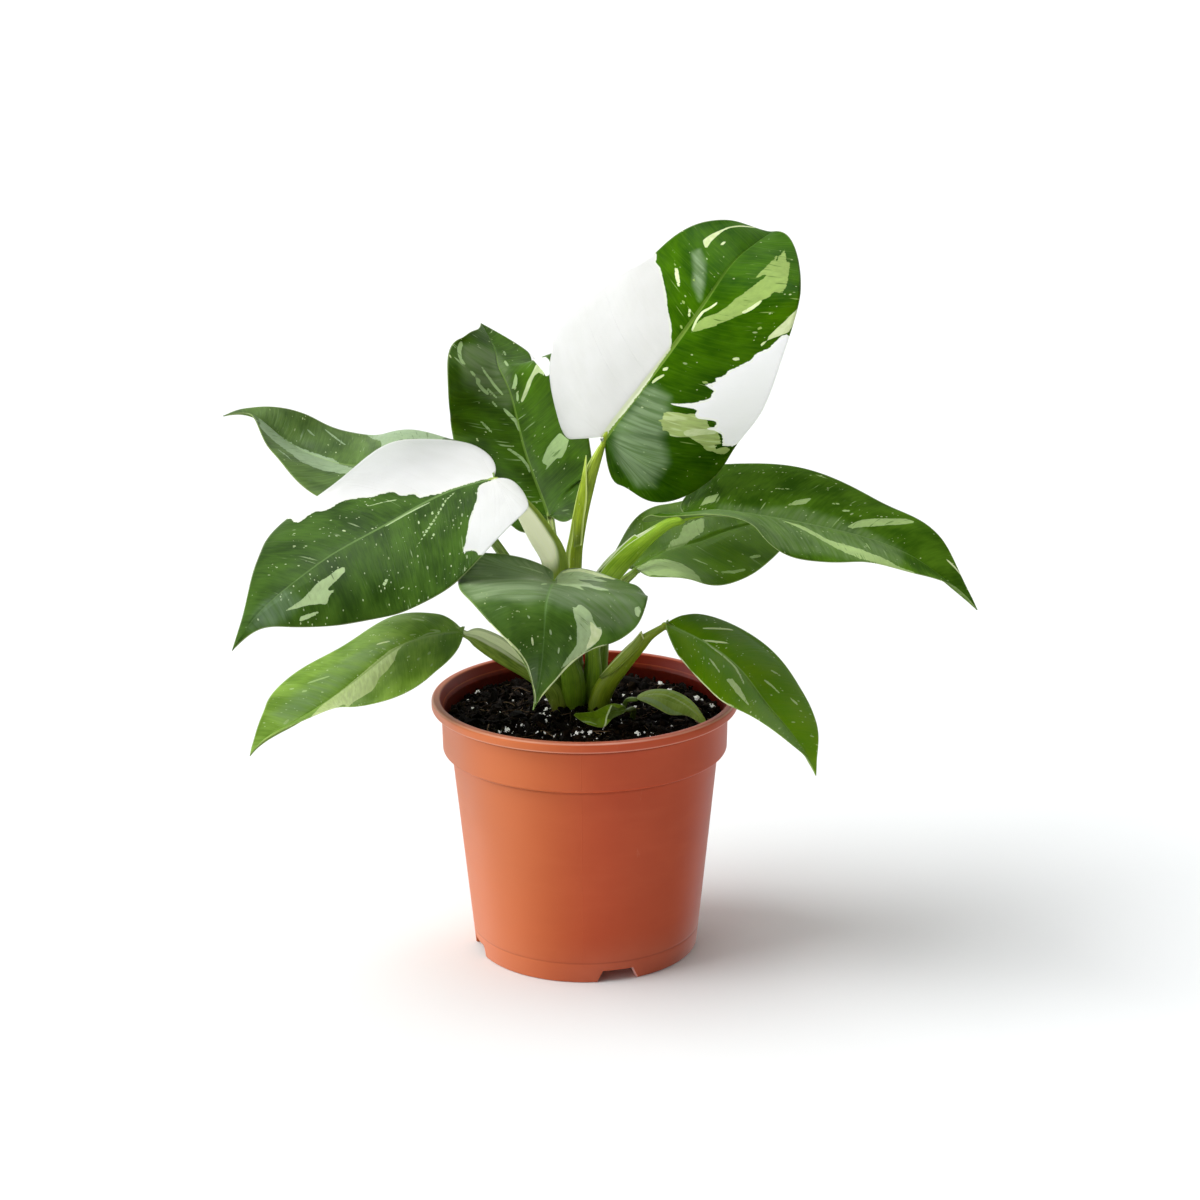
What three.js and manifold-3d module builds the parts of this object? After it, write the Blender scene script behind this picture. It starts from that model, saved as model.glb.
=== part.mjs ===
// Potted variegated philodendron with green and white leaves, in a plain plastic nursery pot.
// Millimetres. Origin: centre of the pot's foot, on the surface it rests on. +X right, +Y away from the viewer, +Z up.
// The pot is turned; the potting mix is one solid that fills it; a short stem carries leaf stalks, each with one blade.
import * as THREE from 'three';
import { mergeVertices } from 'three/addons/utils/BufferGeometryUtils.js';
import Module from 'manifold-3d';

// ---------------------------------------------------------------- driving dimensions (mm)
const RIM_D = 120;          // outside of the rolled lip
const POT_H = 103;          // foot to top of the lip
const LIP_H = 4;            // height of the lip band
const MOUTH_D = 113.6;      // opening inside the lip
const COLLAR_D = 112.4;     // band under the lip
const COLLAR_BOTTOM_D = 111.8;
const STEP_Z = 82.2;        // underside of the collar
const BODY_TOP_D = 104.9;   // wall just under the collar
const FOOT_D = 88.6;        // outside of the foot
const WALL = 1.3;
const FOOT_H = 5;           // recess under the floor
const FOOT_W = 3.4;         // width of the foot ring
const FLOOR_T = 1.6;
const NOTCH_FOOT = 16.5;    // drain notch, width at the foot
const NOTCH_TOP = 12;       // and at its top
const NOTCH_AT = 16.4;      // degrees from the front toward +X, then every 90 degrees
const HOLE_D = 8, HOLES = 6, HOLE_R = 26;
const SOIL_Z = 94.4;        // mean level of the potting mix
const SOIL_MOUND = 2.6;     // rise round the stem
const GAP = 0.3;
const STEM = { x: -4.2, y: 4.8, z0: 82, z1: 122.8 };
const VEIN_SWEEP = 0.42;    // how far the side veins run forward, per mm of half width
const BLADE_T = 0.62, BLADE_EDGE_T = 0.36;

// Leaves. mid: control points of the midrib from the stalk to the tip. lat: direction to the leaf's right, at 4 places.
// fold: degrees that each half rises at the midrib; curl: degrees per mm that it then bends. back: how the base lobes rise.
// edgeR, edgeL: control points of the flat outline, [along the midrib, away from it]. stalk: [x, y, z, half width, half depth].
const LEAVES = {
  top: {
    mid: [[8.36, 1.47, 205.69], [13.67, -4.15, 214.67], [30.68, -3.67, 236.01], [48.04, -0.16, 259.38], [56.46, 8.94, 271.11], [64.86, 20.87, 275.49], [73.59, 36.26, 278.53]],
    lat: [[0.6193, -0.2956, -0.7274], [0.6515, -0.3816, -0.6557], [0.5295, -0.675, -0.5138], [-0.4147, -0.896, -0.1588]],
    fold: [[-1.93, 6.04, 12.69, 12.71], [-2.43, 7.33, 10.4, 13.85]],
    curl: [[-0.8423, -1.6727, -0.8645, -0.6476], [-0.6687, -0.9841, -0.9734, -0.6483]],
    back: -0.0226,
    edgeR: [[0, 0], [-18.34, 11.55], [-15.45, 15.05], [-14.56, 19.4], [-15.77, 27.24], [-9.31, 35.57], [3.67, 42.27], [17.15, 47.19], [29.23, 44.24], [41.55, 45.03], [52.35, 41.1], [64.38, 36.96], [77.89, 33.71], [90.92, 26.56], [101.98, 18.84], [110.42, 12.34], [115.46, 6.77], [117.11, 0]],
    edgeL: [[0, 0], [-14.29, 10.52], [-18.84, 13.07], [-19.3, 17.26], [-13.34, 24.64], [-7.47, 35.16], [-0.06, 43.42], [11.89, 44.49], [24.88, 46.74], [38.02, 44.24], [52.19, 41.58], [66.35, 37.3], [80.17, 31.88], [92.73, 24.95], [102.97, 18.57], [109.9, 13.66], [112.38, 8.51], [117.11, 0]],
    stalk: [[-4.3, 4.8, 124.4, 2.9, 2.6], [-4.71, 4, 140.11, 3.3, 2.6], [-3.99, 4, 156.25, 3.3, 2.4], [-2.56, 4, 166.25, 2.9, 2.2], [-0.35, 3.5, 178.31, 2.9, 2.1], [2.61, 3, 189.87, 2.7, 1.9], [6.31, 2.2, 199.46, 1.6, 1.5], [7.7, 2.62, 202.26, 1.1, 1.1]],
  },
  rear_upright: {
    mid: [[-14.01, 33.45, 166.17], [-15.46, 38.64, 170.49], [-24.46, 42.64, 192.14], [-28.22, 47, 215.17], [-35, 52.89, 223.32], [-34.42, 63.47, 226.49], [-41.63, 76.22, 236.53]],
    lat: [[0.7123, -0.5839, 0.3894], [0.8456, -0.5283, 0.0762], [0.9182, -0.2114, -0.335], [0.78, 0.3353, -0.5284]],
    fold: [[14.17, 12.07, 11.29, 14], [13.12, 11.36, 11.49, 14.8]],
    curl: [[-0.4944, -0.5994, -0.7351, -0.5244], [-0.5321, -0.685, -0.7908, -0.5005]],
    back: 0.0197,
    edgeR: [[0, 0], [-2.78, 2.88], [-7.32, 6.14], [-11.54, 11.03], [-12.92, 17.25], [-9.77, 23.27], [-2.26, 28.44], [7.88, 31.26], [18.94, 32.73], [30.75, 32.2298], [42.81, 30.5341], [54.57, 23.7195], [65.35, 20.1057], [74.22, 17.4283], [81.02, 11.2694], [86.43, 6.4697], [89.81, 2.91], [92.39, 0]],
    edgeL: [[0, 0], [-2, 2], [-3.4, 4.2], [-3.6, 7.5], [-1, 12], [4, 17.5], [10, 22.8], [16, 27.4], [22.5, 30.6], [30.12, 32.75], [41.65, 30.28], [52.96, 26.52], [63.88, 22.64], [73.38, 17.82], [80.73, 13.47], [84.43, 8.29], [86.71, 4.47], [92.39, 0]],
    stalk: [[-3.6, 11.3, 111, 1.9, 1.9], [-7.18, 14, 137.25, 2.3, 1.9], [-9.47, 18, 150.45, 2, 1.7], [-12.24, 24, 159.06, 1.9, 1.6], [-13.03, 32.17, 164.42, 1.5, 1.3]],
  },
  left_large: {
    mid: [[-33.53, -4.61, 190.84], [-52.47, -12.12, 188.31], [-74.33, -18.45, 176.08], [-92.76, -27.94, 168.85], [-103.9, -38.54, 162.53], [-120.34, -47.68, 151.5], [-129.26, -54.72, 138.14]],
    lat: [[-0.7715, 0.6309, 0.0819], [-0.7584, 0.6128, 0.2221], [-0.6599, 0.5948, 0.4591], [-0.6474, 0.596, 0.475]],
    fold: [[-3.96, -0.72, -4.24, -7.48], [-3.81, 1.08, -6.25, -6.82]],
    curl: [[0.5972, -0.3521, -0.7827, -0.8677], [0.0882, -0.0686, -0.9119, -0.958]],
    back: -0.0365,
    edgeR: [[0, 0], [0.17, 2.12], [-2.64, 6.03], [-5.14, 13.07], [-6.1, 21.33], [-2.9, 29.36], [5.2, 35.68], [16.86, 38.98], [28.57, 42.72], [41.54, 40.05], [56.09, 38.04], [69.93, 33.59], [83.1, 27.28], [94.09, 19.27], [102.32, 10.7], [109.14, 5.25], [115.48, 2.57], [123.15, 0]],
    edgeL: [[0, 0], [-4.78, 1.15], [-6.33, 5.05], [-6.49, 12.27], [-5.01, 21.23], [-2.61, 29.85], [5.15, 34.83], [14.54, 39.53], [25.66, 40.27], [38.47, 41.51], [52.79, 38.66], [67.45, 34.69], [81.01, 28.11], [92.81, 20.01], [102.17, 12.76], [107.95, 5.99], [114.04, 2.3], [123.15, 0]],
    stalk: [[-10.6, 2, 108, 2.1, 1.9], [-9.45, -1.2, 125.44, 2.8, 1.9], [-10.38, -3.5, 146.31, 4.6, 1.8], [-11.6, -3.6, 159.14, 5.2, 1.6], [-16.3, -4.2, 168.06, 5.2, 1.6], [-21.53, -5, 176.98, 4.2, 1.6], [-27.49, -6, 185.51, 2.4, 1.6], [-32.25, -4.72, 188.85, 1.5, 1.3]],
  },
  left_rear: {
    mid: [[-61.28, 30, 187.79], [-77.17, 34.38, 188.69], [-92.48, 40, 184.53], [-105.76, 46.56, 187.35], [-119.52, 52.01, 191.59], [-132.18, 54.84, 205.96], [-145.06, 56.62, 202.78]],
    lat: [[0.0029, 0.9377, 0.3475], [0.2088, 0.9458, 0.2488], [0.7306, 0.6744, -0.1069], [0.2668, 0.9616, -0.064]],
    fold: [[5.98, 11.81, 17.67, 20.06], [7.1, 10.57, 19.13, 19.85]],
    curl: [[-1.0477, -0.6365, -0.5104, -0.1657], [-0.9493, -0.7968, -0.34, -0.1914]],
    back: 0,
    edgeR: [[0, 0], [-3.56, 2.24], [-8.07, 5.16], [-12.13, 9.65], [-13.08, 15.54], [-9.8, 21.37], [-1.91, 26.07], [8.25, 29.44], [19.16, 30.81], [30.56, 30.82], [41.59, 28.02], [52.54, 23.98], [63.32, 20.72], [72.18, 15.17], [78.5, 8.87], [83.37, 4.65], [87.63, 4.09], [93.29, 0]],
    edgeL: [[0, 0], [-3.55, 2.22], [-8.16, 5.29], [-12.3, 9.94], [-13.36, 16], [-10.18, 21.99], [-2.3, 26.73], [7.98, 29.96], [18.96, 31.45], [30.54, 30.58], [42.17, 27.9], [53.5, 24.58], [63.67, 19.58], [72.64, 14.5], [78.08, 8.29], [81.39, 2.88], [83.49, 0.28], [93.29, 0]],
    stalk: [[-10.4, 9, 104, 2, 1.8], [-21.26, 11, 138.19, 2.2, 1.7], [-32.91, 16, 157.22, 2, 1.6], [-47.82, 23, 174.54, 1.8, 1.5], [-60.2, 29.68, 186.13, 1.4, 1.2]],
  },
  front: {
    mid: [[-11.41, -16, 153.44], [-10.96, -27.29, 154.61], [-11.23, -38.46, 159.43], [-13.85, -48.96, 155.47], [-14.16, -58.83, 150.58], [-14.92, -66.44, 135.93], [-18.17, -74.7, 121.29]],
    lat: [[-0.9443, 0.2929, 0.1497], [-0.9972, 0.0205, 0.0715], [-0.675, -0.7261, 0.1312], [-0.0784, -0.869, 0.4885]],
    fold: [[6.61, 5.72, 4.5, 6.94], [6.4, 5.39, 3.42, 6.52]],
    curl: [[0.2787, -0.5228, -0.928, -0.7159], [0.066, -0.5403, -0.9858, -0.7598]],
    back: 0.0488,
    edgeR: [[0, 0], [-7.1, 0.11], [-9.83, 0.26], [-11.55, 6.42], [-11.3, 14.72], [-7.96, 23.61], [-1.52, 30.39], [6.79, 34.69], [15.94, 35.7], [25.76, 35.57], [35.17, 33.26], [44.43, 28.49], [53.26, 22.38], [60.79, 15.18], [67.86, 10.1], [72.73, 6], [74.69, 2.33], [78.04, 0]],
    edgeL: [[0, 0], [-7.41, 1.42], [-11.27, 3.54], [-12.53, 9.15], [-10.84, 16.16], [-6.72, 24.11], [-1.27, 30.97], [6.6, 33.7], [15.4, 35.4], [25.8, 36.6], [35.2, 34.3], [43.9, 28.85], [52.33, 22.67], [60.43, 16.12], [67.44, 10.51], [72.19, 5.42], [75.36, 2.12], [78.04, 0]],
    stalk: [[-4.6, -2.6, 104, 2.1, 2], [-7.81, -8, 125.47, 2.5, 2], [-9.17, -12.2, 138.8, 2.1, 1.8], [-10.97, -15, 146.79, 1.9, 1.6], [-11.43, -15.84, 151.24, 1.4, 1.2]],
  },
  right_large: {
    mid: [[38.51, -9.99, 177.43], [48.51, -13.47, 180.76], [60.99, -11.7, 178.55], [81, -12.9, 175.4], [105.47, -17.22, 170.99], [126.97, -23.42, 164.5], [147.87, -32.17, 145.84]],
    lat: [[0.0318, -0.9819, 0.1868], [0.5533, -0.7873, -0.2721], [-0.9792, 0.1189, 0.1646], [-0.497, -0.6917, 0.524]],
    fold: [[13, 13.5, 14.87, 20.86], [16.5, 18, 17, 20.67]],
    curl: [[-0.2047, -0.2529, -0.8913, -0.2579], [-0.0616, -0.2849, -0.8411, -0.2507]],
    back: -0.0324,
    edgeR: [[0, 0], [-2.5, 3], [-5.8, 7.2], [-8.3, 13.6], [-8.8, 21.7], [-6, 29.5], [1.5, 35.6], [14, 41], [27.5, 49], [41.5, 46], [54.5, 37], [69.6, 31.4], [81.9, 24.7], [94.6, 18.75], [104.54, 11.99], [112, 6.2], [116.76, 2.29], [120.75, 0]],
    edgeL: [[0, 0], [-1.2, 2.7], [-3.2, 6.5], [-5.2, 12.4], [-5.6, 20.1], [-3.4, 28.5], [2.5, 35.5], [12, 40.8], [25, 42.8], [39.6, 41.6], [54.2, 35.4], [68.2, 28.4], [82, 25.2], [93.7, 18.8], [103.83, 11.82], [112.16, 6.9], [117.5, 3.5], [120.75, 0]],
    stalk: [[2.8, 3, 111, 2.2, 2.2], [2.31, 0.8, 139.38, 4, 2], [9.54, -0.4, 151.35, 4.6, 2], [17.46, -2, 160.54, 4.2, 2], [25.49, -5, 168.04, 2.7, 1.8], [33.05, -8, 173.91, 2, 1.6], [37.24, -9.62, 175.25, 1.5, 1.3]],
  },
  right_rear: {
    mid: [[20.19, 7.12, 151.94], [31.74, 10.74, 159], [44.18, 16.67, 158.96], [55.83, 23.57, 162.88], [67.13, 31.77, 163.02], [77.6, 40.43, 164.35], [87.25, 50.4, 165.39]],
    lat: [[-0.0128, -0.9807, -0.1952], [0.3047, -0.8228, -0.4798], [0.4664, -0.707, -0.5317], [0.5396, -0.6018, -0.5888]],
    fold: [[6.66, 5.41, 5.47, 7.01], [5.74, 5.19, 4.63, 7.03]],
    curl: [[0.1487, -0.5484, -0.7277, -0.6761], [-0.2054, -0.5647, -0.8081, -0.675]],
    back: 0.0004,
    edgeR: [[0, 0], [-0.17, 3.83], [0.48, 7.45], [-0.52, 11.5], [-0.25, 17.37], [-0.14, 22.77], [3.02, 25.61], [9.38, 25.75], [17.2, 26.83], [26.29, 26.19], [36.06, 24.68], [45.87, 21.48], [55.37, 17.3], [64.26, 12.42], [71.67, 7.88], [77.29, 4.29], [80.83, 1.77], [82.65, 0]],
    edgeL: [[0, 0], [0.67, 4.11], [-3.11, 6.56], [-8.36, 9.28], [-10.02, 13.76], [-7.83, 18.38], [-1.33, 22.48], [6.94, 25.84], [16.17, 26.8], [25.83, 26.7], [35.41, 23.68], [45.2, 19.95], [54.78, 15.72], [63.86, 11.22], [71.45, 7.11], [77.22, 3.94], [80.89, 1.79], [82.65, 0]],
    stalk: [[1.6, 9, 107, 1.9, 1.9], [6.18, 10, 134.25, 2.3, 1.8], [12.87, 9, 142.65, 2.1, 1.6], [19.51, 7.5, 150.03, 1.5, 1.3]],
  },
  right_low: {
    mid: [[31.56, -13.64, 135.39], [46.68, -17.15, 129.39], [60, -21.89, 120.53], [68.3, -27.64, 108.64], [75.2, -35.7, 102.95], [82.55, -45.21, 95.67], [86.51, -54.65, 88.22]],
    lat: [[-0.382, -0.9108, -0.1567], [-0.574, -0.818, -0.0389], [-0.672, -0.7358, 0.0837], [-0.6434, -0.7214, 0.2563]],
    fold: [[8.61, 8.9, 14.82, 18.95], [7.8, 8.26, 15.03, 17.67]],
    curl: [[-0.8008, -0.8438, -0.5496, -0.5203], [-0.8038, -0.9055, -0.5492, -0.4955]],
    back: 0,
    edgeR: [[0, 0], [0.09, 1.86], [1.19, 4.4], [2.84, 7.74], [5.09, 11.5], [7.97, 15.55], [11.74, 19.08], [17.46, 21.61], [24.66, 23.82], [32.91, 24.31], [41.62, 23.93], [50.42, 20.69], [59.44, 16.05], [68.02, 12.64], [74.52, 8.62], [77.24, 3.8], [77.69, 0.27], [86.96, 0]],
    edgeL: [[0, 0], [0.33, 1.82], [1.41, 4.3], [2.91, 7.63], [4.88, 11.4], [7.56, 15.34], [11.42, 18.67], [16.86, 21.48], [23.83, 23.46], [31.91, 24.3], [40.47, 23.91], [49.42, 21.25], [58.45, 16.97], [66.85, 13.12], [73.58, 7.88], [78.89, 3.96], [82.99, 1.97], [86.96, 0]],
    stalk: [[4.9, -2.2, 98.4, 2.9, 2.4], [9.54, -4, 109.48, 3.4, 2.4], [16.74, -7, 120.58, 2.9, 2], [23.85, -10.5, 128.89, 1.8, 1.6], [30.21, -12.98, 133.82, 1.3, 1.2]],
  },
  left_low: {
    mid: [[-46.76, -9.74, 131.55], [-67.47, -16.06, 132.14], [-84.02, -23.82, 118.06], [-101.44, -32.46, 108.62], [-109.22, -42.83, 105.38], [-119.63, -53.32, 103.34], [-123.16, -63.71, 100.4]],
    lat: [[-0.3663, 0.8685, 0.334], [-0.4909, 0.8613, 0.131], [-0.5222, 0.8523, 0.0286], [-0.595, 0.7924, -0.1345]],
    fold: [[5.37, 6.73, 23.49, 24.03], [5.44, 8.27, 23.7, 24.92]],
    curl: [[-0.8521, -1.2811, -0.1638, -0.0223], [-0.9515, -1.0596, -0.1615, -0.0168]],
    back: 0,
    edgeR: [[0, 0], [1.64, 1.56], [2.04, 5.12], [3.06, 9.41], [5.56, 13.33], [10.21, 16.49], [14.81, 20.74], [20.43, 24.65], [28.63, 26.15], [38.54, 25.94], [49.2, 25.95], [59.93, 24.3], [70.09, 19.27], [79.54, 13.92], [87.61, 8.26], [93.53, 3.68], [98.33, 1.89], [103.85, 0]],
    edgeL: [[0, 0], [0.03, 1.99], [1.27, 4.79], [2.94, 8.52], [5.44, 12.74], [9.23, 16.97], [14.42, 20.75], [21.5, 23.66], [30.1, 26.39], [39.41, 27.24], [49.53, 25.6], [60.14, 24.43], [69.49, 19.24], [77.62, 12.34], [85.37, 6.1], [91.2, 1.72], [95.44, 0.29], [103.85, 0]],
    stalk: [[-12.3, 0.6, 99.6, 2.2, 2], [-15.09, -1, 107.42, 3.2, 2], [-23.16, -3, 114.66, 3.6, 1.9], [-32.66, -6, 122.97, 4.8, 1.8], [-40.95, -9, 128.99, 3.8, 1.6], [-45.33, -9.32, 130.21, 1.5, 1.3]],
  },
  small_right: {
    mid: [[20.5, -5.06, 102.81], [25.62, -6.31, 103.71], [30.42, -8.19, 103.52], [35.07, -9.96, 101.92], [39.9, -12.24, 101.03], [43.51, -15, 99], [46.5, -17.93, 96.3]],
    lat: [[-0.2998, -0.9327, -0.2006], [-0.3968, -0.839, -0.3723], [-0.6758, -0.6157, -0.4051], [-0.7603, -0.4938, -0.422]],
    fold: [[8.83, 5.51, 5.01, 8.18], [7.93, 5.04, 5.76, 8.22]],
    curl: [[-0.8882, -0.9456, -0.9487, -0.8896], [-0.9044, -0.9549, -0.9343, -0.8894]],
    back: 0,
    edgeR: [[0, 0], [-0.04, 0.5], [0.21, 1.07], [0.74, 1.78], [1.61, 2.57], [2.89, 3.4], [4.49, 4.3], [6.54, 5.22], [9.15, 5.92], [12.13, 6.26], [15.17, 6.53], [18.05, 6.13], [20.61, 4.4], [23.2, 3], [25.99, 2.3], [28.23, 1.71], [29.77, 1.2], [30.92, 0]],
    edgeL: [[0, 0], [-0.12, 0.67], [0.05, 1.36], [0.49, 2.18], [1.29, 3.02], [2.55, 3.8], [4.09, 4.55], [6.17, 5.02], [8.75, 5.44], [11.6, 5.79], [14.56, 5.87], [17.6, 5.16], [20.7, 3.91], [23.64, 2.78], [26.36, 1.92], [28.53, 1.54], [30, 1.32], [30.92, 0]],
    stalk: [[14.8, 5.5, 92, 1.2, 1], [16.61, 2.5, 99.09, 1, 0.9], [20.11, -4.08, 101.98, 0.8, 0.7]],
  },
  small_left: {
    mid: [[15.95, -16.84, 101.85], [12.16, -17.57, 101.31], [8.43, -18.73, 100.95], [5.59, -19.83, 98.73], [2.33, -20.22, 99.86], [-1.13, -20.9, 100.39], [-4.03, -22.2, 101.7]],
    lat: [[-0.3993, 0.8768, 0.2679], [-0.3671, 0.8572, 0.3611], [-0.3143, 0.7801, 0.541], [-0.242, 0.692, 0.6801]],
    fold: [[10.59, 7.39, 6.73, 8.33], [10.86, 8.75, 6.14, 8.01]],
    curl: [[0, 0, 0, 0], [0, 0, 0, 0]],
    back: 0,
    edgeR: [[0, 0], [-0.37, 0.83], [-0.23, 1.51], [0.14, 2.28], [0.86, 2.96], [1.98, 3.5], [3.13, 4.19], [4.46, 4.57], [6.07, 4.24], [7.9, 3.8], [9.89, 4.04], [12.04, 3.9], [14.17, 3.07], [16.2, 2.22], [18.21, 1.7], [19.79, 1.29], [20.87, 1.01], [21.49, 0]],
    edgeL: [[0, 0], [-0.15, 0.56], [0.06, 1.01], [0.47, 1.57], [1.16, 2.13], [2.23, 2.63], [3.62, 3.03], [5.41, 3.42], [7.44, 3.97], [9.37, 4.79], [10.85, 5.57], [12.19, 4.93], [14.16, 4.24], [16.26, 3.55], [18.16, 2.44], [19.7, 1.54], [20.77, 0.82], [21.49, 0]],
    stalk: [[18.4, -3.5, 92, 1.2, 1], [19.01, -9, 99.4, 1, 0.9], [16.37, -15.71, 101.17, 0.8, 0.7]],
  },
};

// ---------------------------------------------------------------- curves
const lerp = (a, b, t) => a + (b - a) * t;
const add = (a, b, k = 1) => a.map((v, i) => v + b[i] * k);
const dot = (a, b) => a[0] * b[0] + a[1] * b[1] + a[2] * b[2];
const cross = (a, b) => [a[1] * b[2] - a[2] * b[1], a[2] * b[0] - a[0] * b[2], a[0] * b[1] - a[1] * b[0]];
const unit = (a) => { const l = Math.hypot(...a) || 1; return a.map((v) => v / l); };

// uniform cubic B-spline that starts and ends on its first and last control point
function bspline(ctrl, t) {
  const n = ctrl.length, scalar = typeof ctrl[0] === 'number';
  const C = scalar ? ctrl.map((v) => [v]) : ctrl;
  const P = [add(C[0].map((v) => 2 * v), C[1], -1), ...C, add(C[n - 1].map((v) => 2 * v), C[n - 2], -1)];
  const x = Math.min(Math.max(t, 0), 1) * (n - 1), i = Math.min(Math.floor(x), n - 2), f = x - i;
  const b = [(1 - f) ** 3 / 6, (3 * f ** 3 - 6 * f * f + 4) / 6, (-3 * f ** 3 + 3 * f * f + 3 * f + 1) / 6, f ** 3 / 6];
  const r = C[0].map((_, k) => b[0] * P[i][k] + b[1] * P[i + 1][k] + b[2] * P[i + 2][k] + b[3] * P[i + 3][k]);
  return scalar ? r[0] : r;
}

// uniform Catmull-Rom curve through every station
function through(ctrl, t) {
  const n = ctrl.length;
  const P = [add(ctrl[0].map((v) => 2 * v), ctrl[1], -1), ...ctrl, add(ctrl[n - 1].map((v) => 2 * v), ctrl[n - 2], -1)];
  const x = Math.min(Math.max(t, 0), 1) * (n - 1), i = Math.min(Math.floor(x), n - 2), f = x - i;
  return ctrl[0].map((_, k) => {
    const [a, b, c, d] = [P[i][k], P[i + 1][k], P[i + 2][k], P[i + 3][k]];
    return 0.5 * (2 * b + (c - a) * f + (2 * a - 5 * b + 4 * c - d) * f * f + (3 * b - a - 3 * c + d) * f ** 3);
  });
}

// ---------------------------------------------------------------- leaf surface
class Leaf {
  constructor(d) {
    this.d = d;
    const n = 160;
    this.C = []; this.A = [0];
    for (let i = 0; i <= n; i++) this.C.push(bspline(d.mid, i / n));
    for (let i = 1; i <= n; i++) this.A.push(this.A[i - 1] + Math.hypot(...add(this.C[i], this.C[i - 1], -1)));
    this.L = this.A[n];
    this.T = this.C.map((_, i) => unit(add(this.C[Math.min(i + 1, n)], this.C[Math.max(i - 1, 0)], -1)));
  }
  look(tab, a) {
    let i = 0;
    while (i < this.A.length - 2 && this.A[i + 1] < a) i++;
    const f = (a - this.A[i]) / (this.A[i + 1] - this.A[i]);
    return tab[i].map((v, k) => lerp(v, tab[i + 1][k], f));
  }
  // a: along the midrib (below 0 in the base lobes), b: away from it, side: +1 right, -1 left
  point(a, b, side) {
    const d = this.d, ac = Math.min(Math.max(a, 0), this.L), s = ac / this.L, over = a - ac;
    const T = unit(this.look(this.T, ac));
    let B = bspline(d.lat, s);
    B = unit(add(B, T, -dot(B, T)));
    const N = cross(B, T);
    const j = side > 0 ? 0 : 1, rad = Math.PI / 180;
    const th = bspline(d.fold[j], s) * rad;
    let k = bspline(d.curl[j], s) * rad;
    if (Math.abs(k) < 1e-6) k = 1e-6;
    const X = (Math.sin(th + k * b) - Math.sin(th)) / k, Z = (Math.cos(th) - Math.cos(th + k * b)) / k;
    let p = this.look(this.C, ac);
    p = add(p, T, over);
    p = add(p, N, 0.5 * d.back * Math.min(over, 0) ** 2 + Z);
    return add(p, B, side * X);
  }
}

// one closed blade: a top and an under skin that meet round the edge
function blade(d, nu, nv) {
  const leaf = new Leaf(d), L = leaf.L;
  const rows = [];
  let s = 0;
  for (let i = 0; i <= nu; i++) {
    const u = i / nu, R = bspline(d.edgeR, u), E = bspline(d.edgeL, u);
    R[1] = Math.max(R[1], 0); E[1] = Math.max(E[1], 0);
    const s0 = 0.5 * (R[0] + E[0]) - VEIN_SWEEP * 0.5 * (R[1] + E[1]);
    s = i === nu ? L : Math.max(s, Math.min(Math.max(s0, 0), L * 0.999));
    rows.push({ s, R, E });
  }
  const P = [], W = [], tri = [], key = new Map();
  const vert = (i, j, side) => {          // j = 0 on the midrib, nv on the edge
    const r = rows[i];
    let id;
    if (i === 0 || (j === 0 && r.s === 0)) id = 'base';
    else if (i === nu) id = 'tip';
    else if (j === 0) id = 'm' + rows.findIndex((q) => q.s === r.s);
    else id = i + '/' + j + '/' + side;
    if (key.has(id)) return key.get(id);
    const E = side > 0 ? r.R : r.E, v = j / nv;
    let a, b;
    if (id === 'base') { a = 0; b = 0; }
    else if (id === 'tip') { a = L; b = 0; }
    else {
      const cx = r.s + 0.3 * (E[0] - r.s);
      a = (1 - v) ** 2 * r.s + 2 * v * (1 - v) * cx + v * v * E[0];
      b = v * (1 - v) * E[1] + v * v * E[1];
    }
    key.set(id, P.length);
    P.push(leaf.point(a, b, side));
    W.push(id === 'tip' || j === nv ? BLADE_EDGE_T / 2 : lerp(BLADE_T, BLADE_EDGE_T, v * v) / 2);
    return P.length - 1;
  };
  const put = (a, b, c) => { if (a !== b && b !== c && c !== a) tri.push([a, b, c]); };
  for (const side of [1, -1]) for (let i = 0; i < nu; i++) for (let j = 0; j < nv; j++) {
    const q = [vert(i, j, side), vert(i, j + 1, side), vert(i + 1, j + 1, side), vert(i + 1, j, side)];
    if (side > 0) { put(q[0], q[1], q[2]); put(q[0], q[2], q[3]); } else { put(q[0], q[2], q[1]); put(q[0], q[3], q[2]); }
  }
  const N = P.map(() => [0, 0, 0]);
  for (const [a, b, c] of tri) {
    const m = cross(add(P[b], P[a], -1), add(P[c], P[a], -1));
    for (const v of [a, b, c]) N[v] = add(N[v], m);
  }
  // after the first pass the skins are known to face one way: right x along is the upper side
  const n0 = P.length, pos = [];
  P.forEach((p, i) => pos.push(...add(p, unit(N[i]), W[i])));
  P.forEach((p, i) => pos.push(...add(p, unit(N[i]), -W[i])));
  const idx = [];
  for (const [a, b, c] of tri) { idx.push(a, b, c, n0 + a, n0 + c, n0 + b); }
  const edge = new Map();
  for (const t of tri) for (let k = 0; k < 3; k++) {
    const a = t[k], b = t[(k + 1) % 3];
    if (edge.has(b + '_' + a)) edge.delete(b + '_' + a); else edge.set(a + '_' + b, [a, b]);
  }
  for (const [a, b] of edge.values()) idx.push(b, a, n0 + a, b, n0 + a, n0 + b);
  return solid(pos, idx);
}

function solid(pos, idx) {
  const g = new THREE.BufferGeometry();
  g.setAttribute('position', new THREE.Float32BufferAttribute(pos, 3));
  g.setIndex(idx);
  g.computeVertexNormals();
  return g;
}

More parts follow.
